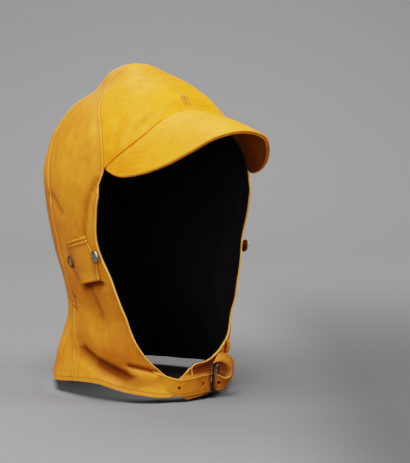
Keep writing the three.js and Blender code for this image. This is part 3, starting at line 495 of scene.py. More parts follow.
# Height of a turned or lapped band along an edge, with a groove under each row of stitches
def bandHeight(distance, band):
    height = band["rise"] * (1 - smoothStep(distance, band["width"] - 0.4, band["width"] + 1.6))
    for row in band["rows"]:
        groove = np.exp(-((distance - row) / stitchGrooves["width"]) ** 2)
        height = height - stitchGrooves["depth"] * groove
    return height


# Bands along the panels' edges. rim is how pale the edge is painted: partly the cut edge's own tone, partly
# painted highlight
bands = {
    "plain": {"rise": 0.0, "width": 3.0, "rows": [], "rim": 0.0},
    "lapped": {"rise": 0.5, "width": 3.2, "rows": [2.7], "rim": 0.22},    # over its neighbour
    "centre": {"rise": 0.25, "width": 3.2, "rows": [2.7], "rim": 0.2},
    "turned": {"rise": 0.45, "width": 5.0, "rows": [3.4], "rim": 0.9},    # face opening
    "hem": {"rise": 0.45, "width": 5.4, "rows": [4.0], "rim": 0.5},
    "brow": {"rise": 0.35, "width": 1.6, "rows": [], "rim": 0.25},
    "nape": {"rise": 0.6, "width": 7.6, "rows": [1.8, 6.8], "rim": 0.15},  # broad band at the rear seam
}

panelRound = 0.62    # radius of a panel's edges
creaseShade = {"from": 0.3, "over": 2.5}    # depth at which a crease's painted shade starts, and over which it grows to full


def makePanel(name, place, sign, lastRow, step, columns, edges):
    row, across = panelGrid(place, lastRow, step, columns)
    turn, level = place(row, across)
    turn = sign * turn
    base, normal = smoothPoint(turn, level), smoothNormal(turn, level)
    fromLeft, down = runLength(base, 1), runLength(base, 0)
    distances = {"fromLeft": fromLeft, "fromRight": fromLeft[:, -1:] - fromLeft, "fromHem": down[-1:] - down}
    creaseDepth = creaseOffset(base)
    folded = foldOffset(base) + creaseDepth + rumpleOffset(base)
    lift, rim = np.zeros_like(folded), np.zeros_like(folded)
    for edge, edgeBands in edges.items():
        for band, weight in edgeBands:
            share = weight(row) if callable(weight) else weight
            lift += bandHeight(distances[edge], bands[band]) * share
            # pale edge: partly the cut edge's own tone, partly painted highlight
            highlight = (1 - smoothStep(distances[edge], 0.2, 1.0)) * share * bands[band]["rim"]
            rim = np.maximum(rim, highlight)
    fall = edgeFall(np.minimum.reduce(list(distances.values())), panelRound)
    outer = base + normal * (folded + lift - fall)[..., None]
    inner = base + normal * (folded - shell["leather"] + fall)[..., None]
    # painted shade in the deeper creases
    shade = np.clip((-creaseDepth - creaseShade["from"]) / creaseShade["over"], 0, 1)
    piece = wallObject(name, outer, inner, leatherMarks(*distances.values(), paintedShade=shade, rim=rim))
    return {"object": piece, "points": outer, "normals": normal, "row": row, "turn": turn, "level": level,
            "folded": folded, **distances}


# Shares of a band along a panel's rows: below the crown, in it, below the nape's seam and above it
def inCurtain(row):
    return smoothStep(row, cornerRow - 0.1, cornerRow + 0.15)


def inCrown(row):
    return 1 - inCurtain(row)


def inNape(row):
    return smoothStep(row, 9.0, 9.8)


def aboveNape(row):
    return 1 - inNape(row)


panels = {}
for side, sign in (("right", -1), ("left", 1)):
    isLeft = sign > 0
    panels[f"side_panel_{side}"] = makePanel(
        f"sidePanel_{side}", lambda row, across: sidePlace(row, across, isLeft), sign, hemRow, 1.5, 54,
        {"fromLeft": [("plain", 1.0)], "fromRight": [("lapped", inCrown), ("turned", inCurtain)],
         "fromHem": [("hem", 1.0)]})
    panels[f"crown_gore_{side}"] = makePanel(
        f"crownGore_{side}", gorePlace, sign, cornerRow, 1.4, 50,
        {"fromLeft": [("plain", 1.0)], "fromRight": [("centre" if isLeft else "plain", 1.0)],
         "fromHem": [("brow", 1.0)]})
rearBands = [("lapped", aboveNape), ("nape", inNape)]
panels["back_panel"] = makePanel("backPanel", backPlace, 1, hemRow, 1.8, 150,
                                 {"fromLeft": rearBands, "fromRight": rearBands, "fromHem": [("hem", 1.0)]})
print("panels made", len(panels))


# Every third row and second column of a panel, with its last ones
def coarser(grid):
    rows, columns = grid.shape
    return np.ix_(np.unique(np.r_[0:rows:3, rows - 1]), np.unique(np.r_[0:columns:2, columns - 1]))


# Lining: dark cloth inside every panel
linings = {}
for node, panel in panels.items():
    pick = coarser(panel["row"])
    turn, level = panel["turn"][pick], panel["level"][pick]
    base, normal = smoothPoint(turn, level), smoothNormal(turn, level)
    outside = panel["folded"][pick] - shell["leather"] - shell["layerGap"]
    outer = base + normal * outside[..., None]
    inner = base + normal * (outside - shell["lining"])[..., None]
    linings[node] = wallObject(f"lining_{node}", outer, inner)
print("lining made", len(linings))


# Peak

peak = {
    "reach": 95.5, "rise": 33.7, "crowning": 3.0, "topWall": 1.6, "underWall": 1.4,
    "span": 0.965, "seat": 0.5, "tuck": 1.4, "underStart": 0.03, "stations": 150, "columns": 46,
    "rows": [2.4, 11.0, 16.5, 22.0, 27.5, 33.0, 38.5, 44.0], "groove": 0.08, "grooveWidth": 0.7,
    "roll": 0.35,
}
peakEdge = {
    "across": [0, .321, .522, .688, .826, .933, 1],
    "reach": [1, .955, .822, .623, .388, .158, 0],
    "rise": [1, .860, .525, .169, -.083, -.175, 0],
}
peakCorner = smoothPoint(np.array(brow["turn"][-1]), levelAt(brow["drop"][-1]))


def peakPoint(share, out):
    turn = share * brow["turn"][-1]
    tucked = peak["tuck"] * (1 - smoothStep(np.abs(turn), 12, 26))
    level = levelAt(atTurn(brow, "drop", np.abs(turn)) + (peak["seat"] - tucked) / shell["height"])
    root = smoothPoint(turn, level) + smoothNormal(turn, level) * peak["seat"]
    row = np.abs(share) * (len(peakEdge["across"]) - 1)
    x = alongTable(peakEdge["across"], row, "odd") * np.sign(share) * peakCorner[0]
    y = peakCorner[1] - alongTable(peakEdge["reach"], row) * peak["reach"]
    z = peakCorner[2] + alongTable(peakEdge["rise"], row) * peak["rise"]
    point = root + (np.stack([x, y, z], -1) - root) * out[..., None]
    point[..., 2] += peak["crowning"] * 4 * out * (1 - out) * (1 - share ** 2)
    return point


def peakNormal(share, out):
    across = peakPoint(share + 0.01, out) - peakPoint(share - 0.01, out)
    ahead = peakPoint(share, out + 0.01) - peakPoint(share, out - 0.01)
    return unit(np.cross(ahead, across))


def peakGrid(start):
    fine = np.linspace(-peak["span"], peak["span"], 600)
    length = runLength(peakPoint(fine, np.ones(600))[:, None], 0)[:, 0]
    between = np.linspace(edgeSteps[-1], length[-1] - edgeSteps[-1], peak["stations"])[1:-1]
    share = np.interp(np.concatenate([edgeSteps, between, length[-1] - edgeSteps[::-1]]), length, fine)
    grid = []
    for s in share:
        ends = peakPoint(np.array([s, s]), np.array([1.0, start]))
        reach = np.linalg.norm(ends[0] - ends[1])
        close = edgeSteps * min(1, reach / 14)
        inside = np.linspace(0, reach - close[-1], peak["columns"])[:-1]
        grid.append(start + (1 - start) * np.concatenate([inside, reach - close[::-1]]) / reach)
    out = np.array(grid)
    return share[:, None] + np.zeros_like(out), out


# Points and normals of the peak, their distances from its edge and the depth of its stitched channels
def peakSurface(start):
    share, out = peakGrid(start)
    base = peakPoint(share, out)
    run = runLength(base, 1)
    fromEdge = run[:, -1:] - run
    channels = sum(np.exp(-((fromEdge - row) / peak["grooveWidth"]) ** 2) for row in peak["rows"])
    return base, peakNormal(share, out), fromEdge, peak["groove"] * channels


def makePeakTop():
    base, normal, fromEdge, channels = peakSurface(0.0)
    lift = peak["roll"] * (1 - smoothStep(fromEdge, 1.6, 3.2)) - channels - edgeFall(fromEdge, 1.3)
    outer = base + normal * lift[..., None]
    inner = base - normal * (peak["topWall"] - edgeFall(fromEdge, 0.3))[..., None]
    piece = wallObject("peakTop", outer, inner, leatherMarks(fromEdge))
    return piece, {"points": outer, "normals": normal, "fromRight": fromEdge}


def makePeakUnderside():
    base, normal, fromEdge, channels = peakSurface(peak["underStart"])
    upper = peak["topWall"] + shell["layerGap"]
    lower = upper + peak["underWall"] - channels - edgeFall(fromEdge, 1.1)
    outer = base - normal * (upper + edgeFall(fromEdge, 0.3))[..., None]
    inner = base - normal * lower[..., None]
    # the underside's edge is painted lighter, as a painted highlight on the shaded leather
    marks = leatherMarks(fromEdge, rim=1 - smoothStep(fromEdge, 0.8, 1.8))
    return wallObject("peakUnderside", outer, inner, marks)


peakTop, peakTopGrid = makePeakTop()
peakUnder = makePeakUnderside()
print("peak made")


# Ear flaps

earFlap = {
    "wall": 1.4, "ear": 2.6, "rise": 3.6, "seat": 0.4, "endLift": 2.0, "rows": 60, "columns": 40,
    "topRear": (86.6, .541), "topFront": (66.2, .514), "lowFront": (58.4, .642), "lowRear": (81.4, .665),
    "ridge": 1.1, "ridgeAt": (1.5, 5.0), "ridgeWidth": 1.0, "roll": 0.5, "round": 0.75,
    "stitchRow": 2.4,
}
rear, front = (smoothPoint(np.array(float(turn)), levelAt(drop)) for turn, drop in
               (earFlap["topRear"], earFlap["topFront"]))
flapWidth = float(np.linalg.norm(rear - front))


def flapPlace(share, down):
    corner = {k: np.array(earFlap[k]) for k in ("topRear", "topFront", "lowFront", "lowRear")}
    ear = earFlap["ear"] / flapWidth * np.sin(math.pi * np.clip(down, 0, 1)) ** 2
    back = (-ear + (1 + 2 * ear) * share)[..., None]
    high = corner["topFront"] + (corner["topRear"] - corner["topFront"]) * back
    low = corner["lowFront"] + (corner["lowRear"] - corner["lowFront"]) * back
    place = high + (low - high) * np.asarray(down)[..., None]
    return place[..., 0], levelAt(place[..., 1])


def flapLift(share):
    return earFlap["seat"] + earFlap["rise"] * np.sin(math.pi * np.clip(share, 0, 1)) ** 1.2


def makeFlap(side, sign):
    close = np.array([0, 0.008, 0.02, 0.035])
    share, down = (np.concatenate([close, np.linspace(0.05, 0.95, earFlap[count]), 1 - close[::-1]])
                   for count in ("columns", "rows"))
    share, down = np.meshgrid(share, down)
    turn, level = flapPlace(share, down)
    turn = sign * turn
    base, normal = smoothPoint(turn, level), smoothNormal(turn, level)
    fromLeft, fromTop = runLength(base, 1), runLength(base, 0)
    fromRight, fromEnd = fromLeft[:, -1:] - fromLeft, fromTop[-1:] - fromTop
    fromSides = np.minimum(fromLeft, fromRight)
    nearest = np.minimum(np.minimum(fromTop, fromEnd), fromSides)
    lift = flapLift(share) + foldOffset(base) + rumpleOffset(base)
    lift += earFlap["endLift"] * smoothStep(down, 0.72, 1.0) * np.sin(math.pi * share) ** 0.6
    for place in earFlap["ridgeAt"]:
        lift += earFlap["ridge"] * np.exp(-((fromTop - place) / earFlap["ridgeWidth"]) ** 2)
    lift += earFlap["roll"] * np.exp(-((fromEnd - 1.3) / 1.2) ** 2)
    fall = edgeFall(nearest, earFlap["round"])
    outer = base + normal * (lift + earFlap["wall"] - fall)[..., None]
    inner = base + normal * (lift + fall)[..., None]
    marks = leatherMarks(fromSides, np.full_like(nearest, 99.0), fromEnd)
    piece = wallObject(f"earFlap_{side}", outer, inner, marks)
    return piece, {"points": outer, "normals": normal, "fromLeft": fromLeft, "fromRight": fromRight}


flaps = {side: makeFlap(side, sign) for side, sign in (("right", -1), ("left", 1))}


# Studs, turned on a frame of axes on the flap. Back and down are shares of the flap, lean is in
# degrees, and off is how far a stud stands off the leather

studSides = 40
studSeat = 0.2
studCap = {"radius": 5.9, "height": 2.3, "back": -0.065, "down": 0.48, "lean": 17.0, "off": 1.4}
studRing = {"radius": 6.0, "hole": 3.7, "height": 1.1, "back": 0.81, "down": 0.46, "lean": 14.0, "off": 0.5}


# Frame of axes for a stud: its middle, two axes across it and the one out of the shell
def studFrame(sign, stud):
    turn, level = flapPlace(np.array(stud["back"]), np.array(stud["down"]))
    out = smoothNormal(sign * (turn + stud["lean"]), level)
    origin = shellPoint(sign * turn, level, flapLift(stud["back"]) + earFlap["wall"] + stud["off"])
    along = unit(np.cross(np.array([0.0, 0.0, 1.0]), out))
    return origin, along, np.cross(out, along), out


# Faces between rings of points, from each ring to the next
def ringFaces(rings, sides, isClosed):
    faces = []
    for i in range(rings if isClosed else rings - 1):
        here, there = i * sides, (i + 1) % rings * sides
        for k in range(sides):
            n = (k + 1) % sides
            faces.append((here + k, here + n, there + n, there + k))
    return faces


def turnedObject(name, profile, frameOfAxes):
    origin, along, rise, out = frameOfAxes
    angle = np.linspace(0, 2 * math.pi, studSides, endpoint=False)
    spokes = np.cos(angle)[:, None] * along + np.sin(angle)[:, None] * rise
    points = [origin + radius * spokes + height * out for radius, height in profile]
    made = meshObject(name, np.concatenate(points), ringFaces(len(profile), studSides, True))
    finishMesh(made)
    return made


def capProfile():
    r, h = studCap["radius"], studCap["height"]
    rim = [(0.001, studSeat), (r * 0.8, studSeat), (r * 0.93, studSeat + 0.15), (r, studSeat + 0.3 * h)]
    return rim + [(r * 0.90 * math.cos(a) ** 0.9 + 0.001, studSeat + h * (0.42 + 0.58 * math.sin(a)))
                  for a in np.linspace(0, math.pi / 2, 9)]


def ringProfile():
    middle, half = (studRing["radius"] + studRing["hole"]) / 2, (studRing["radius"] - studRing["hole"]) / 2
    rise = studRing["height"] / 2
    return [(middle + half * math.cos(a), studSeat + rise + rise * math.sin(a))
            for a in np.linspace(0, 2 * math.pi, 16, endpoint=False)]


studs = {}
for side, sign in (("right", -1), ("left", 1)):
    studs[f"stud_cap_{side}"] = turnedObject(f"studCap_{side}", capProfile(), studFrame(sign, studCap))
    studs[f"stud_ring_{side}"] = turnedObject(f"studRing_{side}", ringProfile(), studFrame(sign, studRing))
print("ear flaps and studs made")


# Tab, strap and its curl

tab = {
    "wall": 1.4, "height": 21.5, "start": -10.3, "end": 12.0, "top": .938, "corner": 6.0,
    "cornerShare": 0.17, "taper": 3.5, "round": 0.65, "stitchRow": 3.0,
}
strap = {
    "width": 15.8, "wall": 1.7, "slack": 3.2, "hole": 3.2, "pitch": 24.0, "firstHole": -12.0, "holes": 2,
    "frameTurn": 17.0, "endTurn": 13.0, "columns": 12, "steps": 90, "curlSteps": 64, "sunk": 1.1,
    # the value 0.48 is the strength of the painted shade along the strap's free stretch
    "sunkWall": 0.3, "freeShade": 0.48, "round": 0.7, "stitchRow": 2.2, "slackTurn": -27.0, "slackOver": 7.0,
    "curlHole": 0.03,                        # share of the loop
    "leaves": (-34, 8), "isFree": (-9, 4),   # turn at the upper edge, and how much further at the lower
    "looseFrom": 34.0,                       # the stitches start at this length
}
strapTop = {"turn": [-37, -33, -24, -12, 0, 12, 26], "drop": [.904, .909, .924, .944, .943, .941, .948]}

# Both edges of the strap's loose end, which loops up and back, in millimetres along the strap, up and
# out from its middle at frameTurn
curlEdges = [
    ((-4.7, 5.6, 3.0), (-0.6, -7.3, 0.0)),
    ((-4.1, 3.8, 7.0), (7.9, -3.9, 0.0)),
    ((0.1, 5.1, 9.0), (13.3, 1.2, 0.3)),
    ((1.4, 10.1, 9.5), (15.5, 7.4, 1.2)),
    ((-1.3, 13.3, 10.0), (13.4, 14.1, 3.0)),
    ((-5.9, 16.5, 10.0), (10.0, 19.7, 4.6)),
    ((-12.0, 18.9, 9.5), (3.2, 24.4, 5.0)),
    ((-18.8, 19.1, 9.0), (-5.2, 26.4, 5.0)),
    ((-24.2, 17.9, 8.0), (-12.0, 26.0, 5.0)),
]
buckle = {
    "turn": 12.0, "wire": 2.4, "foldGap": 0.9, "chapeWall": 1.2, "raise": 3.8, "tilt": -13.0,
    "buckleShade": (8.3, 12.4),    # turns between which painted shade darkens the strap under the buckle
}
chapeStack = (shell["seatGap"] + 2 * buckle["chapeWall"] + 2 * buckle["foldGap"] + buckle["wire"]
              + shell["layerGap"])


def strapLift(turn, down):
    rest = shell["seatGap"] + tab["wall"] + shell["layerGap"]
    overTab = smoothStep(turn, tab["start"] - 14, tab["start"] - 3)
    base = shell["seatGap"] + (rest - shell["seatGap"]) * overTab
    overChape = smoothStep(turn, buckle["turn"] - 7, buckle["turn"] + 4)
    bulge = np.exp(-((turn - strap["slackTurn"]) / strap["slackOver"]) ** 2)
    slack = bulge * strap["slack"] * (1 - down) ** 2
    return base + (np.maximum(base, chapeStack) - base) * overChape + slack


def strapPoint(turn, down, depth=0.0):
    drop = atTurn(strapTop, "drop", turn) + down * strap["width"] / shell["height"]
    return laidPoint(turn, levelAt(drop), strapLift(turn, down) + depth)


# Origin in the strap's wall, then the axes along the strap, across it and out of it
def strapFrame(turn):
    def at(turn, down):
        return strapPoint(np.array(float(turn)), np.array(float(down)), strap["wall"] / 2)
    along = unit(at(turn + 1, 0.5) - at(turn - 1, 0.5))
    below = unit(at(turn, 0.6) - at(turn, 0.4))
    out = unit(np.cross(below, along))
    return at(turn, 0.5), along, unit(np.cross(out, along)), out


# Points given in millimetres along the strap, up and out from its middle at frameTurn
def offStrap(points):
    base, along, _, out = strapFrame(strap["frameTurn"])
    return base + np.array(points) @ np.stack([along, np.array([0.0, 0.0, 1.0]), out])


def makeStrap():
    close = np.array([0, 0.25, 0.6, 1.1])
    across = np.concatenate([close, np.linspace(1.8, strap["width"] - 1.8, strap["columns"]),
                             strap["width"] - close[::-1]]) / strap["width"]
    turns = np.linspace(strapTop["turn"][0], strap["endTurn"], strap["steps"])
    turn, down = np.meshgrid(turns, across, indexing="ij")
    laid = strapPoint(turn, down, strap["wall"] / 2)
    level = levelAt(atTurn(strapTop, "drop", turn) + down * strap["width"] / shell["height"])
    sunk = shellPoint(turn, level, -strap["sunk"])
    leaves, isFree = (start + further * down for start, further in (strap["leaves"], strap["isFree"]))
    free = smoothStep(turn, leaves, isFree)
    laid = sunk + (laid - sunk) * free[..., None]
    # the loop runs on from two of the laid rows
    ends = np.concatenate([[laid[-9][[0, -1]], laid[-1][[0, -1]]], offStrap(curlEdges)])
    rows = np.linspace(1, len(ends) - 1, strap["curlSteps"] + 1)[1:]
    first, second = (np.stack([alongTable(ends[:, edge, k], rows, "carry") for k in range(3)], -1)
                     for edge in range(2))
    loop = first[:, None] * (1 - across)[None, :, None] + second[:, None] * across[None, :, None]
    middle = np.concatenate([laid, loop])
    normal = unit(np.cross(np.gradient(middle, axis=1), np.gradient(middle, axis=0)))
    if normal[0, 0] @ smoothNormal(turns[0], levelAt(strapTop["drop"][0])) < 0:
        normal = -normal
    for _ in range(3):
        normal[1:-1] = unit(normal[:-2] + 2 * normal[1:-1] + normal[2:])
    run, fromLeft = runLength(middle, 0), runLength(middle, 1)
    fromRight = fromLeft[:, -1:] - fromLeft
    side = np.minimum(fromLeft, fromRight)
    fall = edgeFall(np.minimum(side, run[-1:] - run), strap["round"])
    free = np.concatenate([free, np.ones((len(rows), len(across)))])
    wall = strap["wall"] * (strap["sunkWall"] + (1 - strap["sunkWall"]) * free)
    shape = middle + normal * (strap["wall"] / 2 * free)[..., None]
    outer = shape - normal * fall[..., None]
    inner = shape - normal * (wall - np.minimum(fall, wall / 2 - 0.02))[..., None]
    # the strap's rows carry painted shade
    marks = leatherMarks(side, paintedShade=strapShade(turns, len(rows))[:, None])
    # painted shade on the inner face of the loop
    loopInside = np.arange(len(middle)) >= np.searchsorted(turns, strap["endTurn"] - 1, "right")
    piece = wallObject("chinStrap", outer, inner, marks, np.repeat(loopInside[:, None], len(across), 1))
    return piece, {"points": outer, "normals": normal, "fromLeft": fromLeft, "fromRight": fromRight,
                   "run": run, "middle": middle}


# Painted shade on each row of the strap: under the buckle, and along its free stretch
def strapShade(turns, loopRows):
    turns = np.concatenate([turns, np.full(loopRows, 90.0)])
    first, last = buckle["buckleShade"]
    buckleShade = smoothStep(turns, first - 0.5, first + 0.5) * (1 - smoothStep(turns, last - 1, last + 0.6))
    # painted shade along the free stretch, weaker on the loop
    freeShade = smoothStep(turns, -26, -4) * (1 - 0.4 * smoothStep(turns, 20, 60))
    return np.maximum(buckleShade, strap["freeShade"] * freeShade)


def cutHole(piece, frameOfAxes, radius):
    origin, along, rise, out = (Vector(v) for v in frameOfAxes)
    turn = Matrix((along, rise, out)).transposed().to_4x4()
    bpy.ops.mesh.primitive_cylinder_add(vertices=24, radius=radius * mm, depth=6 * mm)
    plug = bpy.context.object
    plug.data.transform(Matrix.Translation(origin * mm) @ turn)
    cut = piece.modifiers.new("hole", "BOOLEAN")
    cut.operation, cut.solver, cut.object = "DIFFERENCE", "EXACT", plug
    applyModifiers(piece)
    bpy.data.objects.remove(plug)


strapPiece, strapGrid = makeStrap()
pitchTurn = float(edgeTurn(strap["pitch"], np.array(0.0), levelAt(atTurn(strapTop, "drop", 0))))
for i in range(strap["holes"]):
    cutHole(strapPiece, strapFrame(strap["firstHole"] + i * pitchTurn), strap["hole"] / 2)


# Frame of axes in the wall of a grid, at a row and a column
def gridFrame(grid, row, column):
    middle = grid["middle"]
    along = unit(middle[row + 1, column] - middle[row - 1, column])
    out = grid["normals"][row, column]
    return middle[row, column], along, unit(np.cross(out, along)), out


holeRow = strap["steps"] + int(strap["curlSteps"] * strap["curlHole"]) + 1
middleColumn = strapGrid["run"].shape[1] // 2
cutHole(strapPiece, gridFrame(strapGrid, holeRow, middleColumn), strap["hole"] / 2)


def makeTab():
    share = np.concatenate([[0, .006, .015, .03], np.linspace(.05, 1, 60)])
    down = np.concatenate([[0, .012, .03, .06], np.linspace(.1, .9, 16), [.94, .97, .988, 1]])
    share, down = np.meshgrid(share, down, indexing="ij")
    turn = tab["start"] + (tab["end"] - tab["start"]) * share
    corner = tab["corner"] * np.maximum(0, 1 - share / tab["cornerShare"]) ** 2
    drop = tab["top"] + down * (tab["height"] - corner - tab["taper"] * share) / shell["height"]
    base, normal = smoothPoint(turn, levelAt(drop)), smoothNormal(turn, levelAt(drop))
    along, across = runLength(base, 0), runLength(base, 1)
    below = across[:, -1:] - across
    fall = edgeFall(np.minimum(along, np.minimum(across, below)), tab["round"])
    lift = shell["seatGap"] + foldOffset(base)
    outer = base + normal * (lift + tab["wall"] - fall)[..., None]
    inner = base + normal * (lift + fall)[..., None]
    piece = wallObject("chinTab", outer, inner, leatherMarks(along, below))
    return piece, {"points": outer, "normals": normal, "fromRight": below}


tabPiece, tabGrid = makeTab()
print("strap and tab made")


# Buckle and keeper: the frame and chape are the solid's own shape, merged, and rounded by modifiers

def roundedCopy(name, node, width):
    made = addObject(name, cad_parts[node].data.copy())
    finishMesh(made)
    flat = made.modifiers.new("flat", "DECIMATE")
    flat.decimate_type, flat.angle_limit = "DISSOLVE", math.radians(4)
    bevel = made.modifiers.new("bevel", "BEVEL")
    bevel.width, bevel.segments, bevel.limit_method = width * mm, 3, "ANGLE"
    bevel.angle_limit = math.radians(25)
    applyModifiers(made)
    smoothFaces(made.data)
    return made


buckleFrame = roundedCopy("buckleFrame", "buckle_frame", 0.5)
buckleFrame.data.transform(Matrix.Translation((0, 0, buckle["raise"] * mm)))
pivot, _, _, outward = strapFrame(buckle["turn"] + 4)
about = Matrix.Translation(Vector(pivot) * mm)
tilt = Matrix.Rotation(math.radians(buckle["tilt"]), 4, Vector(outward))
buckleFrame.data.transform(about @ tilt @ about.inverted())
buckleChape = roundedCopy("buckleChape", "buckle_chape", 0.35)

# Prong: lies loose in the loop, millimetres along the strap, up and out from its middle
prong = {
    "wire": 1.7, "sides": 14, "steps": 40,
    "path": [(-14.2, 2.7, 3.2), (-14.9, 7.3, 5.0), (-16.2, 12.0, 6.5), (-17.0, 17.0, 7.5)],
}


def makeProng():
    knots = offStrap(prong["path"])
    rows = np.linspace(0, len(knots) - 1, prong["steps"])
    path = np.stack([alongTable(knots[:, k], rows, "carry") for k in range(3)], -1)
    share = np.linspace(0, 1, prong["steps"])
    rounding = np.sqrt(np.clip(1 - np.maximum(0, (np.abs(share - 0.5) - 0.46) / 0.04) ** 2, 0.02, 1))
    radii = prong["wire"] / 2 * rounding * (1 + 0.25 * share)
    tangent = unit(np.gradient(path, axis=0))
    side = unit(np.cross(tangent, np.array([0.3, 0.2, 0.9])))
    rise = np.cross(side, tangent)
    sides = prong["sides"]
    angle = np.linspace(0, 2 * math.pi, sides, endpoint=False)
    points = [p + r * (np.cos(angle)[:, None] * s + np.sin(angle)[:, None] * u)
              for p, r, s, u in zip(path, radii, side, rise)]
    ends = [tuple(range(sides - 1, -1, -1)), tuple(range((len(path) - 1) * sides, len(path) * sides))]
    made = meshObject("buckleProng", np.concatenate(points), ringFaces(len(path), sides, False) + ends)
    finishMesh(made)
    return made


buckleProng = makeProng()

keeper = {"turn": 33.5, "drop": .852, "width": 5.0, "height": 15.0, "seat": 0.5, "rise": 1.7, "wall": 1.2}


def makeKeeper():
    down, side = np.meshgrid(np.linspace(0, 1, 30), np.linspace(-0.5, 0.5, 10), indexing="ij")
    level = levelAt(keeper["drop"] + down * keeper["height"] / shell["height"])
    turn = keeper["turn"] + side * edgeTurn(keeper["width"], keeper["turn"], level)
    lift = keeper["seat"] + keeper["rise"] * np.sin(math.pi * down) ** 1.2
    near = np.minimum(0.5 - np.abs(side), 0.1) * keeper["width"]
    fall = edgeFall(near, 0.5)
    outer = shellPoint(turn, level, lift + keeper["wall"] - fall)
    return wallObject("strapKeeper", outer, shellPoint(turn, level, lift + fall),
                      leatherMarks(np.full_like(turn, 99.0)))


strapKeeper = makeKeeper()
print("buckle made")


# Stitches: millimetres, the length from the middle of a stitch to its end

stitches = {
    "seamStitches": {"Pitch": 2.7, "Length": 1.0, "Radius": 0.27, "Seed": 3},
    "peakStitches": {"Pitch": 2.6, "Length": 0.62, "Radius": 0.24, "Seed": 8},
    "barStitches": {"Pitch": 1.2, "Length": 1.0, "Radius": 0.45, "Seed": 5},
}


# Line on a grid at a distance from one of its edges
def gridLine(grid, fromEdge, distance, keep=None, lift=0.12):
    points, normals, run = grid["points"], grid["normals"], grid[fromEdge]
    if fromEdge == "fromHem":
        points, normals, run = points.transpose(1, 0, 2), normals.transpose(1, 0, 2), run.T
    found, facing = [], []
    for i, r in enumerate(run):
        if r.max() < distance + 3 or (keep is not None and not keep[i]):
            continue
        order = np.argsort(r)
        found.append([np.interp(distance, r[order], points[i][order, k]) for k in range(3)])
        facing.append([np.interp(distance, r[order], normals[i][order, k]) for k in range(3)])
    found, facing = np.array(found), unit(np.array(facing))
    return found + facing * lift, facing


# Line through places of the shell
def placeLine(turns, drops, count=40, lift=0.15):
    given, fine = np.linspace(0, 1, len(turns)), np.linspace(0, 1, count)
    turn, level = np.interp(fine, given, turns), levelAt(np.interp(fine, given, drops))
    return shellPoint(turn, level, lift), smoothNormal(turn, level)


def rowsBetween(panel, low, high):
    return (panel["row"][:, 0] >= low) & (panel["row"][:, 0] <= high)


seamLines = []
for side in ("right", "left"):
    body, gore = panels[f"side_panel_{side}"], panels[f"crown_gore_{side}"]
    seamLines += [
        gridLine(body, "fromRight", bands["lapped"]["rows"][0], rowsBetween(body, 0.6, cornerRow)),
        gridLine(body, "fromRight", bands["turned"]["rows"][0], rowsBetween(body, cornerRow + 0.1, 12.9)),
        gridLine(body, "fromHem", bands["hem"]["rows"][0]),
    ]
    if side == "left":
        seamLines.append(gridLine(gore, "fromRight", bands["centre"]["rows"][0], rowsBetween(gore, 0.4, 9)))
back = panels["back_panel"]
for edge in ("fromLeft", "fromRight"):
    seamLines += [
        gridLine(back, edge, bands["lapped"]["rows"][0], rowsBetween(back, 0.6, 9.2)),
        gridLine(back, edge, bands["nape"]["rows"][0], rowsBetween(back, 9.6, hemRow)),
        gridLine(back, edge, bands["nape"]["rows"][1], rowsBetween(back, 9.6, 12.6)),
    ]
seamLines.append(gridLine(back, "fromHem", bands["hem"]["rows"][0]))
for _, grid in flaps.values():
    seamLines += [gridLine(grid, edge, earFlap["stitchRow"]) for edge in ("fromLeft", "fromRight")]
isLoose = strapGrid["run"][:, 0] > strap["looseFrom"]
seamLines += [gridLine(strapGrid, edge, strap["stitchRow"], isLoose) for edge in ("fromLeft", "fromRight")]
seamLines.append(gridLine(tabGrid, "fromRight", tab["stitchRow"]))
# the nape's lower seam
for sign in (-1, 1):
    seamLines.append(placeLine(sign * np.array([99, 101.5, 104, 109, 118]), [.800, .860, .905, .915, .917]))
peakLines = [gridLine(peakTopGrid, "fromRight", row, lift=0.02) for row in peak["rows"]]
# bars over the front end of the centre seam
barLines = []
for offset in (-2.3, 0.2, 2.7):
    turn = math.degrees(offset / 70.0)
    barLines.append(placeLine([turn, turn], [.106, .128], 8, 0.35))


def lineObject(name, lines):
    points, edges, facing = [], [], []
    for line, up in lines:
        start = len(points)
        points += line.tolist()
        facing += up.tolist()
        edges += [(start + i, start + i + 1) for i in range(len(line) - 1)]
    mesh = bpy.data.meshes.new(name)
    mesh.from_pydata((np.array(points) * mm).tolist(), edges, [])
    layer = mesh.attributes.new("facing", "FLOAT_VECTOR", "POINT")
    layer.data.foreach_set("vector", np.array(facing).ravel())
    return addObject(name, mesh)


# Links sockets into a node's inputs, or sets them to values
def feed(tree, node, inputs):
    for key, value in inputs.items():
        socket = node.inputs[key]
        if isinstance(value, bpy.types.NodeSocket):
            tree.links.new(value, socket)
        else:
            socket.default_value = (*value, 1) if socket.type == "RGBA" else value


def put(tree, kind, inputs=None, **settings):
    made = tree.nodes.new(kind)
    for key, value in settings.items():
        setattr(made, key, value)
    feed(tree, made, inputs or {})
    return made.outputs


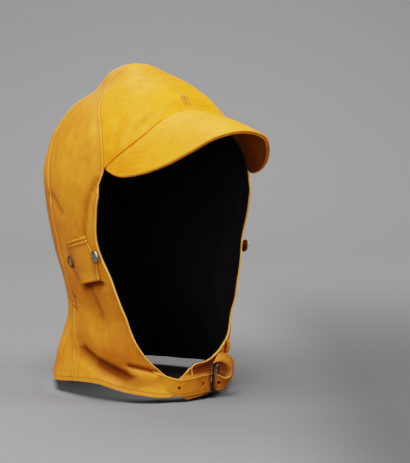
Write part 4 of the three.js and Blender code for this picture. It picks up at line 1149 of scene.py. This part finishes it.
def stitchTree():
    tree = bpy.data.node_groups.new("stitches", "GeometryNodeTree")
    face = tree.interface
    face.new_socket("Lines", in_out="INPUT", socket_type="NodeSocketGeometry")
    for name in ("Pitch", "Length", "Radius"):
        face.new_socket(name, in_out="INPUT", socket_type="NodeSocketFloat")
    face.new_socket("Seed", in_out="INPUT", socket_type="NodeSocketInt")
    face.new_socket("Thread", in_out="INPUT", socket_type="NodeSocketMaterial")
    face.new_socket("Stitches", in_out="OUTPUT", socket_type="NodeSocketGeometry")
    given = put(tree, "NodeGroupInput")
    lines = put(tree, "GeometryNodeMeshToCurve", {"Mesh": given["Lines"]})[0]
    dots = put(tree, "GeometryNodeCurveToPoints", {"Curve": lines, "Length": given["Pitch"]}, mode="LENGTH")
    along = put(tree, "FunctionNodeAlignRotationToVector", {"Vector": dots["Tangent"]}, axis="X")[0]
    facing = put(tree, "GeometryNodeInputNamedAttribute", {"Name": "facing"}, data_type="FLOAT_VECTOR")
    turned = put(tree, "FunctionNodeAlignRotationToVector",
                 {"Rotation": along, "Vector": facing["Attribute"]}, axis="Z", pivot_axis="X")[0]
    size = put(tree, "ShaderNodeCombineXYZ",
               {"X": given["Length"], "Y": given["Radius"], "Z": given["Radius"]})
    chance = put(tree, "FunctionNodeRandomValue", {"Seed": given["Seed"], 2: 0.88, 3: 1.1}, data_type="FLOAT")
    scaled = put(tree, "ShaderNodeVectorMath", {0: size[0], "Scale": chance[1]}, operation="SCALE")[0]
    bead = put(tree, "GeometryNodeMeshUVSphere", {"Segments": 6, "Rings": 4, "Radius": 1.0})["Mesh"]
    copies = put(tree, "GeometryNodeInstanceOnPoints",
                 {"Points": dots["Points"], "Instance": bead, "Rotation": turned, "Scale": scaled})[0]
    real = put(tree, "GeometryNodeRealizeInstances", {"Geometry": copies})[0]
    smooth = put(tree, "GeometryNodeSetShadeSmooth", {"Geometry": real})[0]
    dyed = put(tree, "GeometryNodeSetMaterial", {"Geometry": smooth, "Material": given["Thread"]})[0]
    put(tree, "NodeGroupOutput", {"Stitches": dyed})
    return tree


def sewn(name, lines, tree, material):
    source = lineObject(name + "Lines", lines)
    modifier = source.modifiers.new("stitches", "NODES")
    modifier.node_group = tree
    names = {item.name: item.identifier for item in tree.interface.items_tree if item.in_out == "INPUT"}
    for key, value in stitches[name].items():
        modifier[names[key]] = value if key == "Seed" else value * mm
    modifier[names["Thread"]] = material
    made = addObject(name, evaluatedMesh(source))
    source.modifiers.clear()
    bpy.data.objects.remove(source)
    return made


# Materials

def nodeGroup(name, inputs, outputs):
    tree = bpy.data.node_groups.new(name, "ShaderNodeTree")
    for key, (kind, value) in inputs.items():
        socket = tree.interface.new_socket(key, in_out="INPUT", socket_type=f"NodeSocket{kind}")
        if value is not None:
            socket.default_value = value
    for key, kind in outputs.items():
        tree.interface.new_socket(key, in_out="OUTPUT", socket_type=f"NodeSocket{kind}")
    return tree, put(tree, "NodeGroupInput"), tree.nodes.new("NodeGroupOutput")


def worked(tree, operation, *values, clamp=False):
    return put(tree, "ShaderNodeMath", dict(enumerate(values)), operation=operation, use_clamp=clamp)[0]


def vectorWorked(tree, operation, first, second):
    return put(tree, "ShaderNodeVectorMath", {0: first, 1: second}, operation=operation)


def noise(tree, vector, scale, detail, roughness=0.5, kind="FBM"):
    return put(tree, "ShaderNodeTexNoise", {"Vector": vector, "Scale": scale, "Detail": detail,
                                            "Roughness": roughness}, noise_type=kind)


def ranged(tree, value, low, high, toLow=0.0, toHigh=1.0, kind="LINEAR"):
    limits = {"From Min": low, "From Max": high, "To Min": toLow, "To Max": toHigh}
    return put(tree, "ShaderNodeMapRange", {"Value": value, **limits}, interpolation_type=kind)[0]


def mixed(tree, factor, first, second, blend="MIX"):
    return put(tree, "ShaderNodeMix", {"Factor": factor, 6: first, 7: second}, data_type="RGBA",
               blend_type=blend)[2]


def bumped(tree, height, strength, distance):
    return put(tree, "ShaderNodeBump", {"Height": height, "Strength": strength, "Distance": distance})[0]


# Groove under a row of stitches, from the distance to the edge
def grooveGroup():
    tree, given, result = nodeGroup(
        "stitchGroove", {"Distance": ("Float", 99.0), "Offset": ("Float", 3.0), "Width": ("Float", 0.9)},
        {"Mask": "Float"})
    away = worked(tree, "ABSOLUTE", worked(tree, "SUBTRACT", given["Distance"], given["Offset"]))
    feed(tree, result, {"Mask": ranged(tree, away, 0.0, given["Width"], 1.0, 0.0, "SMOOTHSTEP")})
    return tree


# Pebbled grain with fine wrinkles
def grainGroup():
    tree, given, result = nodeGroup(
        "leatherGrain", {"Vector": ("Vector", None), "Cells": ("Float", 900.0), "Wrinkles": ("Float", 0.4)},
        {"Height": "Float", "Pores": "Float"})
    warp = noise(tree, given["Vector"], 160.0, 2.0)["Color"]
    bent = vectorWorked(tree, "MULTIPLY", warp, (0.004, 0.004, 0.004))[0]
    moved = vectorWorked(tree, "ADD", given["Vector"], bent)[0]
    cells = put(tree, "ShaderNodeTexVoronoi", {"Vector": moved, "Scale": given["Cells"]},
                feature="SMOOTH_F1")["Distance"]
    wrinkles = noise(tree, moved, 95.0, 5.0, 0.62, "RIDGED_MULTIFRACTAL")[0]
    pebble = worked(tree, "SUBTRACT", 1.0, cells)
    feed(tree, result, {"Height": worked(tree, "MULTIPLY_ADD", wrinkles, given["Wrinkles"], pebble),
                        "Pores": worked(tree, "POWER", cells, 3.0)})
    return tree


# Uneven dye: broad clouds and small mottles, and painted shade that darkens the hollows
def dyeAndShadeGroup():
    tree, given, result = nodeGroup(
        "unevenDyeAndShade",
        {"Vector": ("Vector", None), "Light": ("Color", None), "Deep": ("Color", None),
         "Hollow": ("Float", 0.0), "Clouds": ("Float", 14.0)},
        {"Color": "Color", "Mottle": "Float"})
    broad = noise(tree, given["Vector"], given["Clouds"], 4.0, 0.6)[0]
    small = noise(tree, given["Vector"], 130.0, 5.0, 0.7)[0]
    both = worked(tree, "MULTIPLY_ADD", small, 0.45, worked(tree, "MULTIPLY", broad, 0.75))
    toned = mixed(tree, ranged(tree, both, 0.42, 0.78, kind="SMOOTHSTEP"), given["Light"], given["Deep"])
    # painted shade: hollows are mixed towards near black
    hollow = worked(tree, "MULTIPLY", given["Hollow"], 0.85, clamp=True)
    feed(tree, result, {"Color": mixed(tree, hollow, toned, (0.11, 0.030, 0.002)), "Mottle": small})
    return tree


groove, grain, dyeAndShade = grooveGroup(), grainGroup(), dyeAndShadeGroup()


def newMaterial(name):
    material = bpy.data.materials.new(name)
    material.use_nodes = True
    tree = material.node_tree
    tree.nodes.clear()
    skin = tree.nodes.new("ShaderNodeBsdfPrincipled")
    put(tree, "ShaderNodeOutputMaterial", {"Surface": skin.outputs[0]})
    return material, tree, skin, put(tree, "ShaderNodeTexCoord")["Object"]


def leatherMaterial(name, look, grooves):
    material, tree, skin, place = newMaterial(name)
    edges, paintedShade, rim = (put(tree, "ShaderNodeAttribute", attribute_name=key)
                          for key in ("edges", "paintedShade", "rim"))
    distances = put(tree, "ShaderNodeSeparateXYZ", {0: edges["Vector"]})
    lines = worked(tree, "MULTIPLY", paintedShade["Fac"], 0.0)
    for axis, offset in grooves:
        near = put(tree, "ShaderNodeGroup", {"Distance": distances[axis], "Offset": offset}, node_tree=groove)
        lines = worked(tree, "MAXIMUM", lines, near[0])
    # painted shade from the stitch grooves and from the deeper creases
    hollow = worked(tree, "MULTIPLY_ADD", lines, look["lineShade"], paintedShade["Fac"], clamp=True)
    dyed = put(tree, "ShaderNodeGroup", node_tree=dyeAndShade, inputs={
        "Vector": place, "Light": look["light"], "Deep": look["deep"], "Clouds": look["clouds"],
        "Hollow": hollow})
    grained = put(tree, "ShaderNodeGroup", node_tree=grain, inputs={
        "Vector": place, "Cells": look["cells"], "Wrinkles": look["wrinkles"]})
    pores = worked(tree, "MULTIPLY", grained["Pores"], 0.6, clamp=True)
    # pale edges: partly the cut edge's own tone, partly painted highlight
    edged = mixed(tree, rim["Fac"], dyed["Color"], look["rim"])
    rough = ranged(tree, dyed["Mottle"], 0.3, 0.7, look["rough"] - 0.07, look["rough"] + 0.09)
    height = worked(tree, "MULTIPLY_ADD", lines, -look["lineDepth"], grained["Height"])
    feed(tree, skin, {
        "Base Color": mixed(tree, pores, edged, (0.72, 0.62, 0.5), "MULTIPLY"),
        "Roughness": worked(tree, "MULTIPLY_ADD", paintedShade["Fac"], 0.4, rough, clamp=True),
        "Normal": bumped(tree, height, look["bump"], 0.00035), "Specular IOR Level": look["specular"]})
    return material


# rim is the colour of the pale edges, partly the cut edge's own tone and partly painted highlight
leatherLook = {
    "light": (0.77, 0.272, 0.030), "deep": (0.56, 0.172, 0.018), "clouds": 13.0, "cells": 850.0,
    "wrinkles": 0.45, "rough": 0.50, "bump": 0.30, "lineShade": 0.2, "lineDepth": 1.6, "specular": 0.20,
    "rim": (0.97, 0.52, 0.13),
}
crownLook = dict(leatherLook, light=(0.87, 0.285, 0.016), deep=(0.70, 0.200, 0.010), specular=0.08)
peakLook = dict(crownLook, light=(0.85, 0.28, 0.022), deep=(0.72, 0.21, 0.015), lineShade=0.05, lineDepth=0.5)
# painted shade: a darker copy of the leather, for the peak's underside and the buckle's chape
shadedLook = dict(leatherLook, light=(0.36, 0.12, 0.005), deep=(0.20, 0.06, 0.003), rough=0.55, lineShade=0.1,
                  rim=(0.70, 0.25, 0.012))
flapLook = dict(leatherLook, light=(0.62, 0.220, 0.028), deep=(0.42, 0.132, 0.015))

# each with the rows of stitches that it draws, as the number of the edge and the distance from it
panelLeather = leatherMaterial("panelLeather", leatherLook, [(0, 2.7), (1, 3.1), (2, 3.6)])
goreLeather = leatherMaterial("goreLeather", crownLook, [(1, 2.7)])
peakLeather = leatherMaterial("peakLeather", peakLook, [(0, row) for row in peak["rows"]])
shadedLeather = leatherMaterial("shadedLeather", shadedLook, [(0, row) for row in peak["rows"]])
strapLeather = leatherMaterial("strapLeather", dict(leatherLook, rough=0.46), [(0, 2.3)])
flapLeather = leatherMaterial("flapLeather", flapLook, [(0, earFlap["stitchRow"])])
plainLeather = leatherMaterial("plainLeather", leatherLook, [])


def steelMaterial(name, look):
    material, tree, skin, place = newMaterial(name)
    fine, spots = noise(tree, place, 900.0, 4.0)[0], noise(tree, place, 260.0, 6.0, 0.7)[0]
    tarnish = ranged(tree, spots, look["tarnishFrom"], look["tarnishFrom"] + 0.16)
    feed(tree, skin, {
        "Base Color": mixed(tree, tarnish, look["bright"], look["dull"]), "Metallic": 1.0,
        "Roughness": ranged(tree, fine, 0.0, 1.0, look["rough"] - 0.08, look["rough"] + 0.22),
        "Normal": bumped(tree, spots, 0.2, 0.0001)})
    return material


steel = steelMaterial("steel", {
    "bright": (0.46, 0.44, 0.40), "dull": (0.10, 0.08, 0.06), "tarnishFrom": 0.47, "rough": 0.24})
buckleSteel = steelMaterial("buckleSteel", {
    "bright": (0.17, 0.14, 0.10), "dull": (0.03, 0.022, 0.015), "tarnishFrom": 0.40, "rough": 0.34})
agedSteel = steelMaterial("agedSteel", {
    "bright": (0.26, 0.21, 0.15), "dull": (0.09, 0.065, 0.04), "tarnishFrom": 0.45, "rough": 0.42})


def waves(tree, vector, scale, distortion, direction):
    return put(tree, "ShaderNodeTexWave", {"Vector": vector, "Scale": scale, "Distortion": distortion},
               bands_direction=direction)["Fac"]


def threadMaterial():
    material, tree, skin, place = newMaterial("thread")
    twist = waves(tree, place, 700.0, 2.0, "DIAGONAL")
    tone = noise(tree, place, 60.0, 3.0)[0]
    feed(tree, skin, {"Base Color": mixed(tree, tone, (0.36, 0.13, 0.014), (0.60, 0.26, 0.035)),
                      "Normal": bumped(tree, twist, 0.4, 0.0001), "Roughness": 0.6})
    return material


def liningMaterial():
    material, tree, skin, place = newMaterial("liningCloth")
    weave = worked(tree, "MAXIMUM", *(waves(tree, place, 420.0, 0.6, way) for way in ("Z", "X")))
    tone = noise(tree, place, 45.0, 4.0)[0]
    feed(tree, skin, {"Base Color": mixed(tree, tone, (0.022, 0.020, 0.021), (0.044, 0.040, 0.042)),
                      "Normal": bumped(tree, weave, 0.3, 0.0003),
                      "Roughness": 0.95, "Specular IOR Level": 0.1})
    return material


threadDye, liningCloth = threadMaterial(), liningMaterial()

tree = stitchTree()
sewnPieces = [sewn(name, lines, tree, threadDye) for name, lines in
              (("seamStitches", seamLines), ("peakStitches", peakLines), ("barStitches", barLines))]
print("stitches", [len(piece.data.polygons) for piece in sewnPieces])


# Dressing: every piece gets its material and its body, and any solid that it stands for is hidden

def dress(piece, material, slot, *nodes):
    piece.data.materials.clear()
    piece.data.materials.append(material)
    if nodes:
        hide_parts(*nodes)
    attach(piece, "root")


for node, panel in panels.items():
    dress(panel["object"], goreLeather if "gore" in node else panelLeather, "leather", node)
    dress(linings[node], liningCloth, "lining_cloth", f"lining_{node}")
dress(peakTop, peakLeather, "leather", "peak_top")
dress(peakUnder, shadedLeather, "leather_shaded", "peak_underside")
for side in ("right", "left"):
    dress(flaps[side][0], flapLeather, "leather", f"ear_flap_{side}")
    dress(studs[f"stud_cap_{side}"], steel, "steel", f"stud_cap_{side}")
    dress(studs[f"stud_ring_{side}"], agedSteel, "aged_steel", f"stud_ring_{side}")
dress(tabPiece, flapLeather, "leather", "chin_tab")
dress(strapPiece, strapLeather, "leather", "chin_strap")
dress(buckleFrame, buckleSteel, "steel", "buckle_frame")
dress(buckleProng, steel, "steel", "buckle_prong")
# the chape takes the leather with painted shade
dress(buckleChape, shadedLeather, "leather", "buckle_chape")
dress(strapKeeper, plainLeather, "leather", "strap_keeper")
for piece in sewnPieces:
    dress(piece, threadDye, "leather")
print("pieces dressed")


# Floor, light and world

backdrop = {    # metres
    "width": 9.0, "front": -2.5, "bend": 1.1, "radius": 1.4, "height": 3.5, "steps": 24,
    # corner is the colour of the painted shadow beside the helmet
    "wall": (0.325, 0.325, 0.33), "floor": (0.190, 0.190, 0.192), "corner": (0.095, 0.095, 0.096),
}


def addBackdrop():
    low = cadBox[0].z - 0.0005
    bend = np.linspace(0, math.pi / 2, backdrop["steps"])
    first, radius = backdrop["bend"], backdrop["radius"]
    ahead = np.concatenate([[backdrop["front"]], first + radius * np.sin(bend), [first + radius]])
    height = np.concatenate([[0], radius * (1 - np.cos(bend)), [backdrop["height"]]]) + low
    turn = math.radians(cameraSetup["turn"])
    across = np.array([math.cos(turn), -math.sin(turn), 0])
    back = np.array([math.sin(turn), math.cos(turn), 0])
    points = [(a * back + side * backdrop["width"] / 2 * across + h * np.array([0, 0, 1])) / mm
              for a, h in zip(ahead, height) for side in (-1, 1)]
    faces = [(2 * i, 2 * i + 1, 2 * i + 3, 2 * i + 2) for i in range(len(ahead) - 1)]
    made = meshObject("backdrop", points, faces)
    # a painted shadow darkens the floor beside the helmet, and the floor pales again towards the wall
    material, tree, skin, place = newMaterial("paleBackdrop")
    depth = vectorWorked(tree, "DOT_PRODUCT", place, tuple(back))["Value"]
    right = vectorWorked(tree, "DOT_PRODUCT", place, tuple(across))["Value"]
    away = ranged(tree, depth, 0.0, 2.3, kind="SMOOTHSTEP")
    shadowSide = ranged(tree, right, 0.08, 0.22, kind="SMOOTHSTEP")
    near = ranged(tree, depth, 0.0, 0.9, 1.0, 0.0, "SMOOTHSTEP")
    floor = mixed(tree, worked(tree, "MULTIPLY", shadowSide, near), backdrop["floor"], backdrop["corner"])
    feed(tree, skin, {"Base Color": mixed(tree, away, floor, backdrop["wall"]), "Roughness": 0.95,
                      "Specular IOR Level": 0.1})
    made.data.materials.append(material)


addBackdrop()

lights = [
    # name, place from the helmet's middle in metres, width in metres, watts
    ("key", (-0.60, -0.45, 1.55), 1.0, 34),
    ("fill", (1.1, -1.1, 1.3), 1.0, 20),
    ("side", (-1.5, -0.7, 0.25), 1.2, 9),
    ("wall", (0.2, 0.9, 1.9), 1.6, 26),
]
middle = Vector((0, -0.02, -0.14))
for name, place, size, watts in lights:
    data = bpy.data.lights.new(name, "AREA")
    data.shape, data.size, data.energy = "DISK", size, watts
    lamp = addObject(name, data)
    lamp.location = middle + Vector(place)
    lamp.rotation_euler = (middle - lamp.location).to_track_quat("-Z", "Y").to_euler()

world = bpy.data.worlds.new("studio")
world.use_nodes = True
feed(world.node_tree, world.node_tree.nodes["Background"], {"Color": (0.62, 0.62, 0.64), "Strength": 0.28})
bpy.context.scene.world = world
view = bpy.context.scene.view_settings
view.view_transform = "Filmic"
view.look = "High Contrast"
